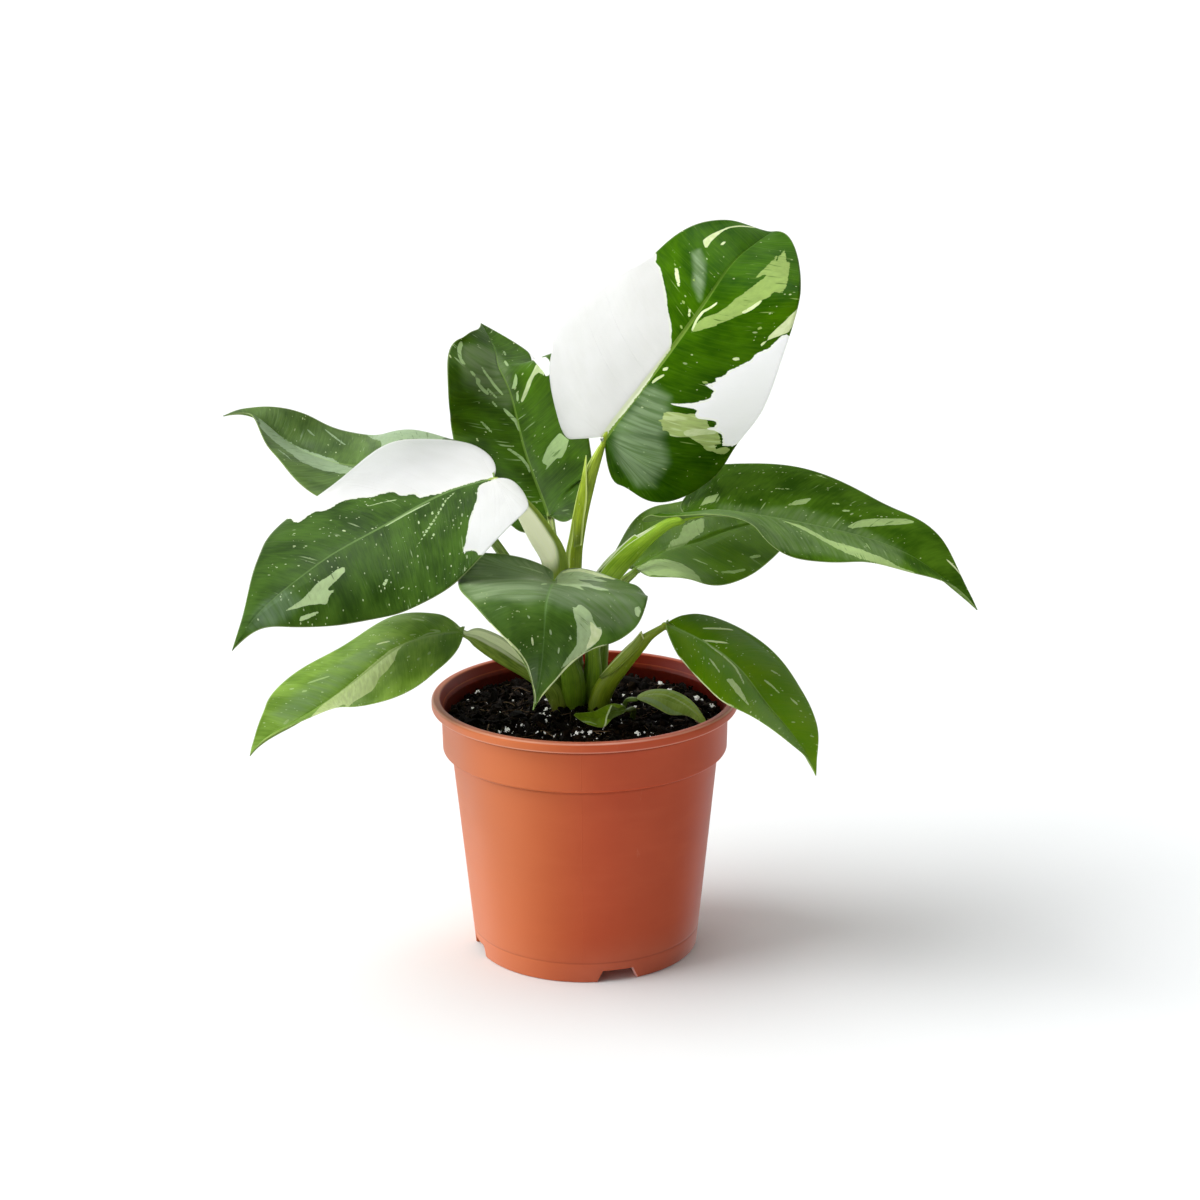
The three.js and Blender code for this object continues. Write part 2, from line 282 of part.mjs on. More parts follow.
// ---------------------------------------------------------------- leaf stalk: an oval rod along its stations
const VIEW = [0, Math.cos(0.28), -Math.sin(0.28)];
function stalk(st, sides = 8) {
  const rings = (st.length - 1) * 2, pos = [], idx = [];
  for (let i = 0; i <= rings; i++) {
    const t = i / rings, p = through(st, t);
    const T = unit(add(through(st, Math.min(t + 0.01, 1)).slice(0, 3), through(st, Math.max(t - 0.01, 0)).slice(0, 3), -1));
    const W = unit(cross(T, VIEW)), D = cross(T, W);
    for (let k = 0; k < sides; k++) {
      const f = (k / sides) * 2 * Math.PI;
      pos.push(...add(add(p.slice(0, 3), W, p[3] * Math.cos(f)), D, p[4] * Math.sin(f)));
    }
  }
  const a0 = pos.length / 3;
  pos.push(...st[0].slice(0, 3)); pos.push(...st[st.length - 1].slice(0, 3));
  for (let i = 0; i < rings; i++) for (let k = 0; k < sides; k++) {
    const a = i * sides + k, b = i * sides + (k + 1) % sides, c = a + sides, d = b + sides;
    idx.push(a, b, d, a, d, c);
  }
  for (let k = 0; k < sides; k++) {
    idx.push(a0, (k + 1) % sides, k);
    idx.push(a0 + 1, rings * sides + k, rings * sides + (k + 1) % sides);
  }
  return solid(pos, idx);
}

// ---------------------------------------------------------------- cutting
const wasm = await Module();
wasm.setup();
function body(g) {
  const q = new THREE.BufferGeometry();
  q.setAttribute('position', (g.index ? g : g).getAttribute('position').clone());
  if (g.index) q.setIndex(g.index.clone());
  const m = mergeVertices(q, 1e-4), src = Array.from(m.index.array), tri = [];
  for (let i = 0; i < src.length; i += 3) if (src[i] !== src[i + 1] && src[i + 1] !== src[i + 2] && src[i + 2] !== src[i]) tri.push(src[i], src[i + 1], src[i + 2]);
  return new wasm.Manifold(new wasm.Mesh({ numProp: 3, vertProperties: new Float32Array(m.getAttribute('position').array), triVerts: new Uint32Array(tri) }));
}
function geometry(man) {
  const m = man.getMesh();
  return solid(Array.from(m.vertProperties), Array.from(m.triVerts));
}
function turned(profile, seg) {          // profile: closed loop of [r, z], turned round +Z
  const g = new THREE.LatheGeometry(profile.map(([r, z]) => new THREE.Vector2(r, z)), seg);
  g.rotateX(Math.PI / 2);
  return g;
}

// ---------------------------------------------------------------- pot
const R = { rim: RIM_D / 2, mouth: MOUTH_D / 2, collar: COLLAR_D / 2, collarB: COLLAR_BOTTOM_D / 2, top: BODY_TOP_D / 2, foot: FOOT_D / 2 };
const wallR = (z) => lerp(R.foot, R.top, z / STEP_Z);               // outside of the body
const floorTop = FOOT_H + FLOOR_T;
const potProfile = [
  [0, FOOT_H], [R.foot - FOOT_W, FOOT_H], [R.foot - FOOT_W + 0.3, 0], [R.foot - 0.7, 0], [R.foot, 0.8],
  [R.top, STEP_Z - 1.0], [R.top + 1.2, STEP_Z - 0.3], [R.collarB - 0.6, STEP_Z], [R.collarB, STEP_Z + 0.8],
  [R.collar, POT_H - LIP_H], [R.rim - 0.4, POT_H - LIP_H], [R.rim, POT_H - LIP_H + 0.6], [R.rim, POT_H - 0.9], [R.rim - 0.8, POT_H],
  [R.mouth + 0.6, POT_H], [R.mouth, POT_H - 0.7], [R.collar - WALL, POT_H - LIP_H - 1.2], [R.collarB - WALL, STEP_Z + 1.4],
  [R.top - WALL, STEP_Z - 0.6], [wallR(floorTop) - WALL, floorTop + 0.8], [wallR(floorTop) - WALL - 0.8, floorTop], [0, floorTop],
];
let potBody = body(turned(potProfile, 56));
for (let i = 0; i < 4; i++) {
  const shape = new THREE.Shape();
  shape.moveTo(-NOTCH_FOOT / 2, -1); shape.lineTo(NOTCH_FOOT / 2, -1); shape.lineTo(NOTCH_TOP / 2, FOOT_H - 0.02); shape.lineTo(-NOTCH_TOP / 2, FOOT_H - 0.02); shape.closePath();
  const cut = new THREE.ExtrudeGeometry(shape, { depth: 10, bevelEnabled: false });
  cut.rotateX(Math.PI / 2);               // upright, running toward -Y
  cut.translate(0, -R.foot + 6, 0);
  cut.rotateZ(THREE.MathUtils.degToRad(NOTCH_AT + 90 * i));
  potBody = potBody.subtract(body(cut));
}
for (let i = 0; i < HOLES; i++) {
  const h = new THREE.CylinderGeometry(HOLE_D / 2, HOLE_D / 2, 10, 12);
  h.rotateX(Math.PI / 2);
  const a = (i / HOLES) * 2 * Math.PI;
  h.translate(HOLE_R * Math.cos(a), HOLE_R * Math.sin(a), floorTop - 1);
  potBody = potBody.subtract(body(h));
}

// ---------------------------------------------------------------- potting mix
function soilHeight(x, y) {
  const d = Math.hypot(x - STEM.x, y - STEM.y), r = Math.hypot(x, y) / 54;
  return SOIL_Z + SOIL_MOUND * Math.exp(-((d / 13) ** 2))
    + (1 - r ** 4) * (0.55 * Math.sin(x * 0.21 + 1.3) * Math.cos(y * 0.17) + 0.45 * Math.sin(x * 0.09 - y * 0.31 + 0.6)) - 0.7 * r ** 6;
}
const soilR = (z) => z > STEP_Z ? R.collarB - WALL - GAP + (R.collar - R.collarB) * Math.max(0, (z - STEP_Z) / (POT_H - LIP_H - STEP_Z)) : wallR(z) - WALL - GAP - 0.05;
function soilSolid(seg = 32, ringsN = 6) {
  const pos = [], idx = [], levels = [[soilR(floorTop + 1.2) - 0.6, floorTop + GAP], [soilR(floorTop + 1.6), floorTop + 1.6], [R.top - WALL - 0.45, STEP_Z - 0.2], [soilR(STEP_Z + 2), STEP_Z + 2.2]];
  const ring = (r, zf) => { for (let k = 0; k < seg; k++) { const f = (k / seg) * 2 * Math.PI, x = r * Math.cos(f), y = r * Math.sin(f); pos.push(x, y, zf(x, y)); } };
  pos.push(0, 0, floorTop + GAP);
  for (const [r, z] of levels) ring(r, () => z);
  for (let i = 0; i < ringsN; i++) ring(soilR(SOIL_Z) * (1 - i / ringsN), soilHeight);
  pos.push(0, 0, soilHeight(0, 0));
  const total = levels.length + ringsN, at = (i, k) => 1 + i * seg + (k % seg);
  for (let k = 0; k < seg; k++) idx.push(0, at(0, k + 1), at(0, k));
  for (let i = 0; i < total - 1; i++) for (let k = 0; k < seg; k++) idx.push(at(i, k), at(i, k + 1), at(i + 1, k + 1), at(i, k), at(i + 1, k + 1), at(i + 1, k));
  for (let k = 0; k < seg; k++) idx.push(at(total - 1, k), at(total - 1, k + 1), 1 + total * seg);
  return solid(pos, idx);
}
const stemProfile = (g) => [[0, STEM.z0 - g], [3.2 + g, STEM.z0 - g], [4.9 + g, 94], [4.6 + g, 100], [4.0 + g, 106], [3.6 + g, 112], [2.9 + g, STEM.z1 - 0.8 + g], [2.2 + g, STEM.z1 + g], [0, STEM.z1 + g]];
const stemAt = (g) => { const q = turned(stemProfile(g), 20); q.translate(STEM.x, STEM.y, 0); return q; };
let soil = body(soilSolid()).subtract(body(stemAt(GAP)));
for (const d of [LEAVES.small_right, LEAVES.small_left]) {
  const fat = d.stalk.map((p) => [p[0], p[1], p[2], p[3] + GAP * 2, p[4] + GAP * 2]);
  const t0 = unit(add(fat[1].slice(0, 3), fat[0].slice(0, 3), -1));
  fat.unshift([...add(fat[0].slice(0, 3), t0, -0.5), fat[0][3], fat[0][4]]);
  soil = soil.subtract(body(stalk(fat)));
}

// ---------------------------------------------------------------- assembly
const plant = new THREE.Group();
plant.name = 'potted_white_wizard_philodendron';
const mat = (color, roughness) => new THREE.MeshStandardMaterial({ color, roughness, metalness: 0 });
const node = (name, g, m) => { const o = new THREE.Mesh(g, m); o.name = name; plant.add(o); };
node('nursery_pot', geometry(potBody), mat(0xc2663f, 0.5));
node('potting_mix', geometry(soil), mat(0x1d1710, 0.95));
node('stem', geometry(body(stemAt(0))), mat(0x7f9a34, 0.5));
const GREEN = { top: 0x3f6420, rear_upright: 0x46662c, left_large: 0x3a5a24, left_rear: 0x4a7034, front: 0x466a38, right_large: 0x3a6424, right_rear: 0x3f6a28, right_low: 0x3d6c24, left_low: 0x5c8c34, small_right: 0x6a9440, small_left: 0x4c7c2a };
const FINE = { small_right: [10, 2], small_left: [9, 2] };
for (const [name, d] of Object.entries(LEAVES)) {
  const [nu, nv] = FINE[name] || [18, 3];
  node('leaf_blade_' + name, blade(d, nu, nv), mat(GREEN[name], 0.38));
  node('leaf_stalk_' + name, stalk(d.stalk), mat(0x86a83c, 0.45));
}
export default plant;
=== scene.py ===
"""Potted white wizard philodendron: leaves, stalks, potting mix and nursery pot, in the row frame (metres)."""
import math

import bpy
import numpy as np
from mathutils import Matrix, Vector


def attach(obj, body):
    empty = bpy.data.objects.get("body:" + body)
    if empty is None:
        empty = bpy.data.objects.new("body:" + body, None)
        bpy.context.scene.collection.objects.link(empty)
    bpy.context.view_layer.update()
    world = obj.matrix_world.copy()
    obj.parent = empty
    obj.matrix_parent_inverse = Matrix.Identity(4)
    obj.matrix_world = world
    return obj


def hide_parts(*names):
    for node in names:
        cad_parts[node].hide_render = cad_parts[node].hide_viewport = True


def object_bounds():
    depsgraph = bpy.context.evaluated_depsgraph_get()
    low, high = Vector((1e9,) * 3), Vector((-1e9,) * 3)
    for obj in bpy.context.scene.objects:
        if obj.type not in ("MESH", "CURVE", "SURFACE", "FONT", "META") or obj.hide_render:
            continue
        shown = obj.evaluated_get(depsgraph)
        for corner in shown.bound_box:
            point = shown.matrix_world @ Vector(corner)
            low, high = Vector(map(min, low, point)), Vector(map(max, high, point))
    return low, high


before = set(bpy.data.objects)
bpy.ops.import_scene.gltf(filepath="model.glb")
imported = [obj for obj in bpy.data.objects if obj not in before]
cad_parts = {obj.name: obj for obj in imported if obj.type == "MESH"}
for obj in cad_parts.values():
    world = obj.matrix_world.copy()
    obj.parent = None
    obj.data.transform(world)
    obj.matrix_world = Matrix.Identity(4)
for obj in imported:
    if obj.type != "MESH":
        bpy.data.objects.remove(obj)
CAD_LO, CAD_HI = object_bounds()
MM = 0.001

# ------------------------------------------------------------------ plant data, in millimetres
# mid: midrib control points; lat: direction to the leaf's right; fold, curl: rise of each half; P, M: flat outline of the
# right and left half as [along the midrib, away from it]; stalk: [x, y, z, half width, half depth].
LEAVES = {
    "L1": {"name": "top", "kb": -0.02260, "rib": 0.35,
           "mid": [[8.36, 1.47, 205.69], [13.67, -4.15, 214.67], [30.68, -3.67, 236.01], [48.04, -0.16, 259.38], [56.46, 8.94, 271.11], [64.86, 20.87, 275.49], [73.59, 36.26, 278.53]],
           "lat": [[0.6193, -0.2956, -0.7274], [0.6515, -0.3816, -0.6557], [0.5295, -0.675, -0.5138], [-0.4147, -0.896, -0.1588]],
           "fold": [[-1.93, 6.04, 12.69, 12.71], [-2.43, 7.33, 10.4, 13.85]],
           "curl": [[-0.842, -1.673, -0.865, -0.648], [-0.669, -0.984, -0.973, -0.648]],
           "P": [[0, 0], [-18.34, 11.55], [-15.45, 15.05], [-14.56, 19.4], [-15.77, 27.24], [-9.31, 35.57], [3.67, 42.27], [17.15, 47.19], [29.23, 44.24], [41.55, 45.03], [52.35, 41.1], [64.38, 36.96], [77.89, 33.71], [90.92, 26.56], [101.98, 18.84], [110.42, 12.34], [115.46, 6.77], [117.11, 0]],
           "M": [[0, 0], [-14.29, 10.52], [-18.84, 13.07], [-19.3, 17.26], [-13.34, 24.64], [-7.47, 35.16], [-0.06, 43.42], [11.89, 44.49], [24.88, 46.74], [38.02, 44.24], [52.19, 41.58], [66.35, 37.3], [80.17, 31.88], [92.73, 24.95], [102.97, 18.57], [109.9, 13.66], [112.38, 8.51], [117.11, 0]],
           "stalk": [[-4.3, 4.8, 124.4, 2.9, 2.6], [-4.71, 4, 140.11, 3.3, 2.6], [-3.99, 4, 156.25, 3.3, 2.4], [-2.56, 4, 166.25, 2.9, 2.2], [-0.35, 3.5, 178.31, 2.9, 2.1], [2.61, 3, 189.87, 2.7, 1.9], [6.31, 2.2, 199.46, 1.6, 1.5], [7.7, 2.62, 202.26, 1.1, 1.1]],
           },
    "L2": {"name": "rear_upright", "kb": 0.01970, "rib": 0.45,
           "mid": [[-14.01, 33.45, 166.17], [-15.46, 38.64, 170.49], [-24.46, 42.64, 192.14], [-28.22, 47, 215.17], [-35, 52.89, 223.32], [-34.42, 63.47, 226.49], [-41.63, 76.22, 236.53]],
           "lat": [[0.7123, -0.5839, 0.3894], [0.8456, -0.5283, 0.0762], [0.9182, -0.2114, -0.335], [0.78, 0.3353, -0.5284]],
           "fold": [[14.17, 12.07, 11.29, 14], [13.12, 11.36, 11.49, 14.8]],
           "curl": [[-0.494, -0.599, -0.735, -0.524], [-0.532, -0.685, -0.791, -0.5]],
           "P": [[0, 0], [-2.78, 2.88], [-7.32, 6.14], [-11.54, 11.03], [-12.92, 17.25], [-9.77, 23.27], [-2.26, 28.44], [7.88, 31.26], [18.94, 32.73], [30.75, 32.23], [42.81, 30.53], [54.57, 23.72], [65.35, 20.11], [74.22, 17.43], [81.02, 11.27], [86.43, 6.47], [89.81, 2.91], [92.39, 0]],
           "M": [[0, 0], [-2, 2], [-3.4, 4.2], [-3.6, 7.5], [-1, 12], [4, 17.5], [10, 22.8], [16, 27.4], [22.5, 30.6], [30.12, 32.75], [41.65, 30.28], [52.96, 26.52], [63.88, 22.64], [73.38, 17.82], [80.73, 13.47], [84.43, 8.29], [86.71, 4.47], [92.39, 0]],
           "stalk": [[-3.6, 11.3, 111, 1.9, 1.9], [-7.18, 14, 137.25, 2.3, 1.9], [-9.47, 18, 150.45, 2, 1.7], [-12.24, 24, 159.06, 1.9, 1.6], [-13.03, 32.17, 164.42, 1.5, 1.3]],
           },
    "L3": {"name": "left_large", "kb": -0.03650, "rib": 0.3,
           "mid": [[-33.53, -4.61, 190.84], [-52.47, -12.12, 188.31], [-74.33, -18.45, 176.08], [-92.76, -27.94, 168.85], [-103.9, -38.54, 162.53], [-120.34, -47.68, 151.5], [-129.26, -54.72, 138.14]],
           "lat": [[-0.7715, 0.6309, 0.0819], [-0.7584, 0.6128, 0.2221], [-0.6599, 0.5948, 0.4591], [-0.6474, 0.596, 0.475]],
           "fold": [[-3.96, -0.72, -4.24, -7.48], [-3.81, 1.08, -6.25, -6.82]],
           "curl": [[0.597, -0.352, -0.783, -0.868], [0.088, -0.069, -0.912, -0.958]],
           "P": [[0, 0], [0.17, 2.12], [-2.64, 6.03], [-5.14, 13.07], [-6.1, 21.33], [-2.9, 29.36], [5.2, 35.68], [16.86, 38.98], [28.57, 42.72], [41.54, 40.05], [56.09, 38.04], [69.93, 33.59], [83.1, 27.28], [94.09, 19.27], [102.32, 10.7], [109.14, 5.25], [115.48, 2.57], [123.15, 0]],
           "M": [[0, 0], [-4.78, 1.15], [-6.33, 5.05], [-6.49, 12.27], [-5.01, 21.23], [-2.61, 29.85], [5.15, 34.83], [14.54, 39.53], [25.66, 40.27], [38.47, 41.51], [52.79, 38.66], [67.45, 34.69], [81.01, 28.11], [92.81, 20.01], [102.17, 12.76], [107.95, 5.99], [114.04, 2.3], [123.15, 0]],
           "stalk": [[-10.6, 2, 108, 2.1, 1.9], [-9.45, -1.2, 125.44, 2.8, 1.9], [-10.38, -3.5, 146.31, 4.6, 1.8], [-11.6, -3.6, 159.14, 5.2, 1.6], [-16.3, -4.2, 168.06, 5.2, 1.6], [-21.53, -5, 176.98, 4.2, 1.6], [-27.49, -6, 185.51, 2.4, 1.6], [-32.25, -4.72, 188.85, 1.5, 1.3]],
           },
    "L4": {"name": "left_rear", "kb": -0.00000, "rib": 0.5,
           "mid": [[-61.28, 30, 187.79], [-77.17, 34.38, 188.69], [-92.48, 40, 184.53], [-105.76, 46.56, 187.35], [-119.52, 52.01, 191.59], [-132.18, 54.84, 205.96], [-145.06, 56.62, 202.78]],
           "lat": [[0.0029, 0.9377, 0.3475], [0.2088, 0.9458, 0.2488], [0.7306, 0.6744, -0.1069], [0.2668, 0.9616, -0.064]],
           "fold": [[5.98, 11.81, 17.67, 20.06], [7.1, 10.57, 19.13, 19.85]],
           "curl": [[-1.048, -0.636, -0.51, -0.166], [-0.949, -0.797, -0.34, -0.191]],
           "P": [[0, 0], [-3.56, 2.24], [-8.07, 5.16], [-12.13, 9.65], [-13.08, 15.54], [-9.8, 21.37], [-1.91, 26.07], [8.25, 29.44], [19.16, 30.81], [30.56, 30.82], [41.59, 28.02], [52.54, 23.98], [63.32, 20.72], [72.18, 15.17], [78.5, 8.87], [83.37, 4.65], [87.63, 4.09], [93.29, 0]],
           "M": [[0, 0], [-3.55, 2.22], [-8.16, 5.29], [-12.3, 9.94], [-13.36, 16], [-10.18, 21.99], [-2.3, 26.73], [7.98, 29.96], [18.96, 31.45], [30.54, 30.58], [42.17, 27.9], [53.5, 24.58], [63.67, 19.58], [72.64, 14.5], [78.08, 8.29], [81.39, 2.88], [83.49, 0.28], [93.29, 0]],
           "stalk": [[-10.4, 9, 104, 2, 1.8], [-21.26, 11, 138.19, 2.2, 1.7], [-32.91, 16, 157.22, 2, 1.6], [-47.82, 23, 174.54, 1.8, 1.5], [-60.2, 29.68, 186.13, 1.4, 1.2]],
           },
    "L5": {"name": "front", "kb": 0.04880, "rib": 0.06,
           "mid": [[-11.41, -16, 153.44], [-10.96, -27.29, 154.61], [-11.23, -38.46, 159.43], [-13.85, -48.96, 155.47], [-14.16, -58.83, 150.58], [-14.92, -66.44, 135.93], [-18.17, -74.7, 121.29]],
           "lat": [[-0.9443, 0.2929, 0.1497], [-0.9972, 0.0205, 0.0715], [-0.675, -0.7261, 0.1312], [-0.0784, -0.869, 0.4885]],
           "fold": [[6.61, 5.72, 4.5, 6.94], [6.4, 5.39, 3.42, 6.52]],
           "curl": [[0.279, -0.523, -0.928, -0.716], [0.066, -0.54, -0.986, -0.76]],
           "P": [[0, 0], [-7.1, 0.11], [-9.83, 0.26], [-11.55, 6.42], [-11.3, 14.72], [-7.96, 23.61], [-1.52, 30.39], [6.79, 34.69], [15.94, 35.7], [25.76, 35.57], [35.17, 33.26], [44.43, 28.49], [53.26, 22.38], [60.79, 15.18], [67.86, 10.1], [72.73, 6], [74.69, 2.33], [78.04, 0]],
           "M": [[0, 0], [-7.41, 1.42], [-11.27, 3.54], [-12.53, 9.15], [-10.84, 16.16], [-6.72, 24.11], [-1.27, 30.97], [6.6, 33.7], [15.4, 35.4], [25.8, 36.6], [35.2, 34.3], [43.9, 28.85], [52.33, 22.67], [60.43, 16.12], [67.44, 10.51], [72.19, 5.42], [75.36, 2.12], [78.04, 0]],
           "stalk": [[-4.6, -2.6, 104, 2.1, 2], [-7.81, -8, 125.47, 2.5, 2], [-9.17, -12.2, 138.8, 2.1, 1.8], [-10.97, -15, 146.79, 1.9, 1.6], [-11.43, -15.84, 151.24, 1.4, 1.2]],
           },
    "L6": {"name": "right_large", "kb": -0.03240, "rib": 0.4,
           "mid": [[38.51, -9.99, 177.43], [48.51, -13.47, 180.76], [60.99, -11.7, 178.55], [81, -12.9, 175.4], [105.47, -17.22, 170.99], [126.97, -23.42, 164.5], [147.87, -32.17, 145.84]],
           "lat": [[0.0318, -0.9819, 0.1868], [0.5533, -0.7873, -0.2721], [-0.9792, 0.1189, 0.1646], [-0.497, -0.6917, 0.524]],
           "fold": [[13, 13.5, 14.87, 20.86], [16.5, 18, 17, 20.67]],
           "curl": [[-0.205, -0.253, -0.891, -0.258], [-0.062, -0.285, -0.841, -0.251]],
           "P": [[0, 0], [-2.5, 3], [-5.8, 7.2], [-8.3, 13.6], [-8.8, 21.7], [-6, 29.5], [1.5, 35.6], [14, 41], [27.5, 49], [41.5, 46], [54.5, 37], [69.6, 31.4], [81.9, 24.7], [94.6, 18.75], [104.54, 11.99], [112, 6.2], [116.76, 2.29], [120.75, 0]],
           "M": [[0, 0], [-1.2, 2.7], [-3.2, 6.5], [-5.2, 12.4], [-5.6, 20.1], [-3.4, 28.5], [2.5, 35.5], [12, 40.8], [25, 42.8], [39.6, 41.6], [54.2, 35.4], [68.2, 28.4], [82, 25.2], [93.7, 18.8], [103.83, 11.82], [112.16, 6.9], [117.5, 3.5], [120.75, 0]],
           "stalk": [[2.8, 3, 111, 2.2, 2.2], [2.31, 0.8, 139.38, 4, 2], [9.54, -0.4, 151.35, 4.6, 2], [17.46, -2, 160.54, 4.2, 2], [25.49, -5, 168.04, 2.7, 1.8], [33.05, -8, 173.91, 2, 1.6], [37.24, -9.62, 175.25, 1.5, 1.3]],
           },
    "L7": {"name": "right_rear", "kb": 0.00040, "rib": 0.7,
           "mid": [[20.19, 7.12, 151.94], [31.74, 10.74, 159], [44.18, 16.67, 158.96], [55.83, 23.57, 162.88], [67.13, 31.77, 163.02], [77.6, 40.43, 164.35], [87.25, 50.4, 165.39]],
           "lat": [[-0.0128, -0.9807, -0.1952], [0.3047, -0.8228, -0.4798], [0.4664, -0.707, -0.5317], [0.5396, -0.6018, -0.5888]],
           "fold": [[6.66, 5.41, 5.47, 7.01], [5.74, 5.19, 4.63, 7.03]],
           "curl": [[0.149, -0.548, -0.728, -0.676], [-0.205, -0.565, -0.808, -0.675]],
           "P": [[0, 0], [-0.17, 3.83], [0.48, 7.45], [-0.52, 11.5], [-0.25, 17.37], [-0.14, 22.77], [3.02, 25.61], [9.38, 25.75], [17.2, 26.83], [26.29, 26.19], [36.06, 24.68], [45.87, 21.48], [55.37, 17.3], [64.26, 12.42], [71.67, 7.88], [77.29, 4.29], [80.83, 1.77], [82.65, 0]],
           "M": [[0, 0], [0.67, 4.11], [-3.11, 6.56], [-8.36, 9.28], [-10.02, 13.76], [-7.83, 18.38], [-1.33, 22.48], [6.94, 25.84], [16.17, 26.8], [25.83, 26.7], [35.41, 23.68], [45.2, 19.95], [54.78, 15.72], [63.86, 11.22], [71.45, 7.11], [77.22, 3.94], [80.89, 1.79], [82.65, 0]],
           "stalk": [[1.6, 9, 107, 1.9, 1.9], [6.18, 10, 134.25, 2.3, 1.8], [12.87, 9, 142.65, 2.1, 1.6], [19.51, 7.5, 150.03, 1.5, 1.3]],
           },
    "L8": {"name": "right_low", "kb": -0.00000, "rib": 0.25,
           "mid": [[31.56, -13.64, 135.39], [46.68, -17.15, 129.39], [60, -21.89, 120.53], [68.3, -27.64, 108.64], [75.2, -35.7, 102.95], [82.55, -45.21, 95.67], [86.51, -54.65, 88.22]],
           "lat": [[-0.382, -0.9108, -0.1567], [-0.574, -0.818, -0.0389], [-0.672, -0.7358, 0.0837], [-0.6434, -0.7214, 0.2563]],
           "fold": [[8.61, 8.9, 14.82, 18.95], [7.8, 8.26, 15.03, 17.67]],
           "curl": [[-0.801, -0.844, -0.55, -0.52], [-0.804, -0.905, -0.549, -0.495]],
           "P": [[0, 0], [0.09, 1.86], [1.19, 4.4], [2.84, 7.74], [5.09, 11.5], [7.97, 15.55], [11.74, 19.08], [17.46, 21.61], [24.66, 23.82], [32.91, 24.31], [41.62, 23.93], [50.42, 20.69], [59.44, 16.05], [68.02, 12.64], [74.52, 8.62], [77.24, 3.8], [77.69, 0.27], [86.96, 0]],
           "M": [[0, 0], [0.33, 1.82], [1.41, 4.3], [2.91, 7.63], [4.88, 11.4], [7.56, 15.34], [11.42, 18.67], [16.86, 21.48], [23.83, 23.46], [31.91, 24.3], [40.47, 23.91], [49.42, 21.25], [58.45, 16.97], [66.85, 13.12], [73.58, 7.88], [78.89, 3.96], [82.99, 1.97], [86.96, 0]],
           "stalk": [[4.9, -2.2, 98.4, 2.9, 2.4], [9.54, -4, 109.48, 3.4, 2.4], [16.74, -7, 120.58, 2.9, 2], [23.85, -10.5, 128.89, 1.8, 1.6], [30.21, -12.98, 133.82, 1.3, 1.2]],
           },
    "L9": {"name": "left_low", "kb": 0.00000, "rib": 0.45,
           "mid": [[-46.76, -9.74, 131.55], [-67.47, -16.06, 132.14], [-84.02, -23.82, 118.06], [-101.44, -32.46, 108.62], [-109.22, -42.83, 105.38], [-119.63, -53.32, 103.34], [-123.16, -63.71, 100.4]],
           "lat": [[-0.3663, 0.8685, 0.334], [-0.4909, 0.8613, 0.131], [-0.5222, 0.8523, 0.0286], [-0.595, 0.7924, -0.1345]],
           "fold": [[5.37, 6.73, 23.49, 24.03], [5.44, 8.27, 23.7, 24.92]],
           "curl": [[-0.852, -1.281, -0.164, -0.022], [-0.952, -1.06, -0.162, -0.017]],
           "P": [[0, 0], [1.64, 1.56], [2.04, 5.12], [3.06, 9.41], [5.56, 13.33], [10.21, 16.49], [14.81, 20.74], [20.43, 24.65], [28.63, 26.15], [38.54, 25.94], [49.2, 25.95], [59.93, 24.3], [70.09, 19.27], [79.54, 13.92], [87.61, 8.26], [93.53, 3.68], [98.33, 1.89], [103.85, 0]],
           "M": [[0, 0], [0.03, 1.99], [1.27, 4.79], [2.94, 8.52], [5.44, 12.74], [9.23, 16.97], [14.42, 20.75], [21.5, 23.66], [30.1, 26.39], [39.41, 27.24], [49.53, 25.6], [60.14, 24.43], [69.49, 19.24], [77.62, 12.34], [85.37, 6.1], [91.2, 1.72], [95.44, 0.29], [103.85, 0]],
           "stalk": [[-12.3, 0.6, 99.6, 2.2, 2], [-15.09, -1, 107.42, 3.2, 2], [-23.16, -3, 114.66, 3.6, 1.9], [-32.66, -6, 122.97, 4.8, 1.8], [-40.95, -9, 128.99, 3.8, 1.6], [-45.33, -9.32, 130.21, 1.5, 1.3]],
           },
    "L10": {"name": "small_right", "kb": 0.00000, "rib": 1.0,
           "mid": [[20.5, -5.06, 102.81], [25.62, -6.31, 103.71], [30.42, -8.19, 103.52], [35.07, -9.96, 101.92], [39.9, -12.24, 101.03], [43.51, -15, 99], [46.5, -17.93, 96.3]],
           "lat": [[-0.2998, -0.9327, -0.2006], [-0.3968, -0.839, -0.3723], [-0.6758, -0.6157, -0.4051], [-0.7603, -0.4938, -0.422]],
           "fold": [[8.83, 5.51, 5.01, 8.18], [7.93, 5.04, 5.76, 8.22]],
           "curl": [[-0.888, -0.946, -0.949, -0.89], [-0.904, -0.955, -0.934, -0.889]],
           "P": [[0, 0], [-0.04, 0.5], [0.21, 1.07], [0.74, 1.78], [1.61, 2.57], [2.89, 3.4], [4.49, 4.3], [6.54, 5.22], [9.15, 5.92], [12.13, 6.26], [15.17, 6.53], [18.05, 6.13], [20.61, 4.4], [23.2, 3], [25.99, 2.3], [28.23, 1.71], [29.77, 1.2], [30.92, 0]],
           "M": [[0, 0], [-0.12, 0.67], [0.05, 1.36], [0.49, 2.18], [1.29, 3.02], [2.55, 3.8], [4.09, 4.55], [6.17, 5.02], [8.75, 5.44], [11.6, 5.79], [14.56, 5.87], [17.6, 5.16], [20.7, 3.91], [23.64, 2.78], [26.36, 1.92], [28.53, 1.54], [30, 1.32], [30.92, 0]],
           "stalk": [[14.8, 5.5, 92, 1.2, 1], [16.61, 2.5, 99.09, 1, 0.9], [20.11, -4.08, 101.98, 0.8, 0.7]],
           },
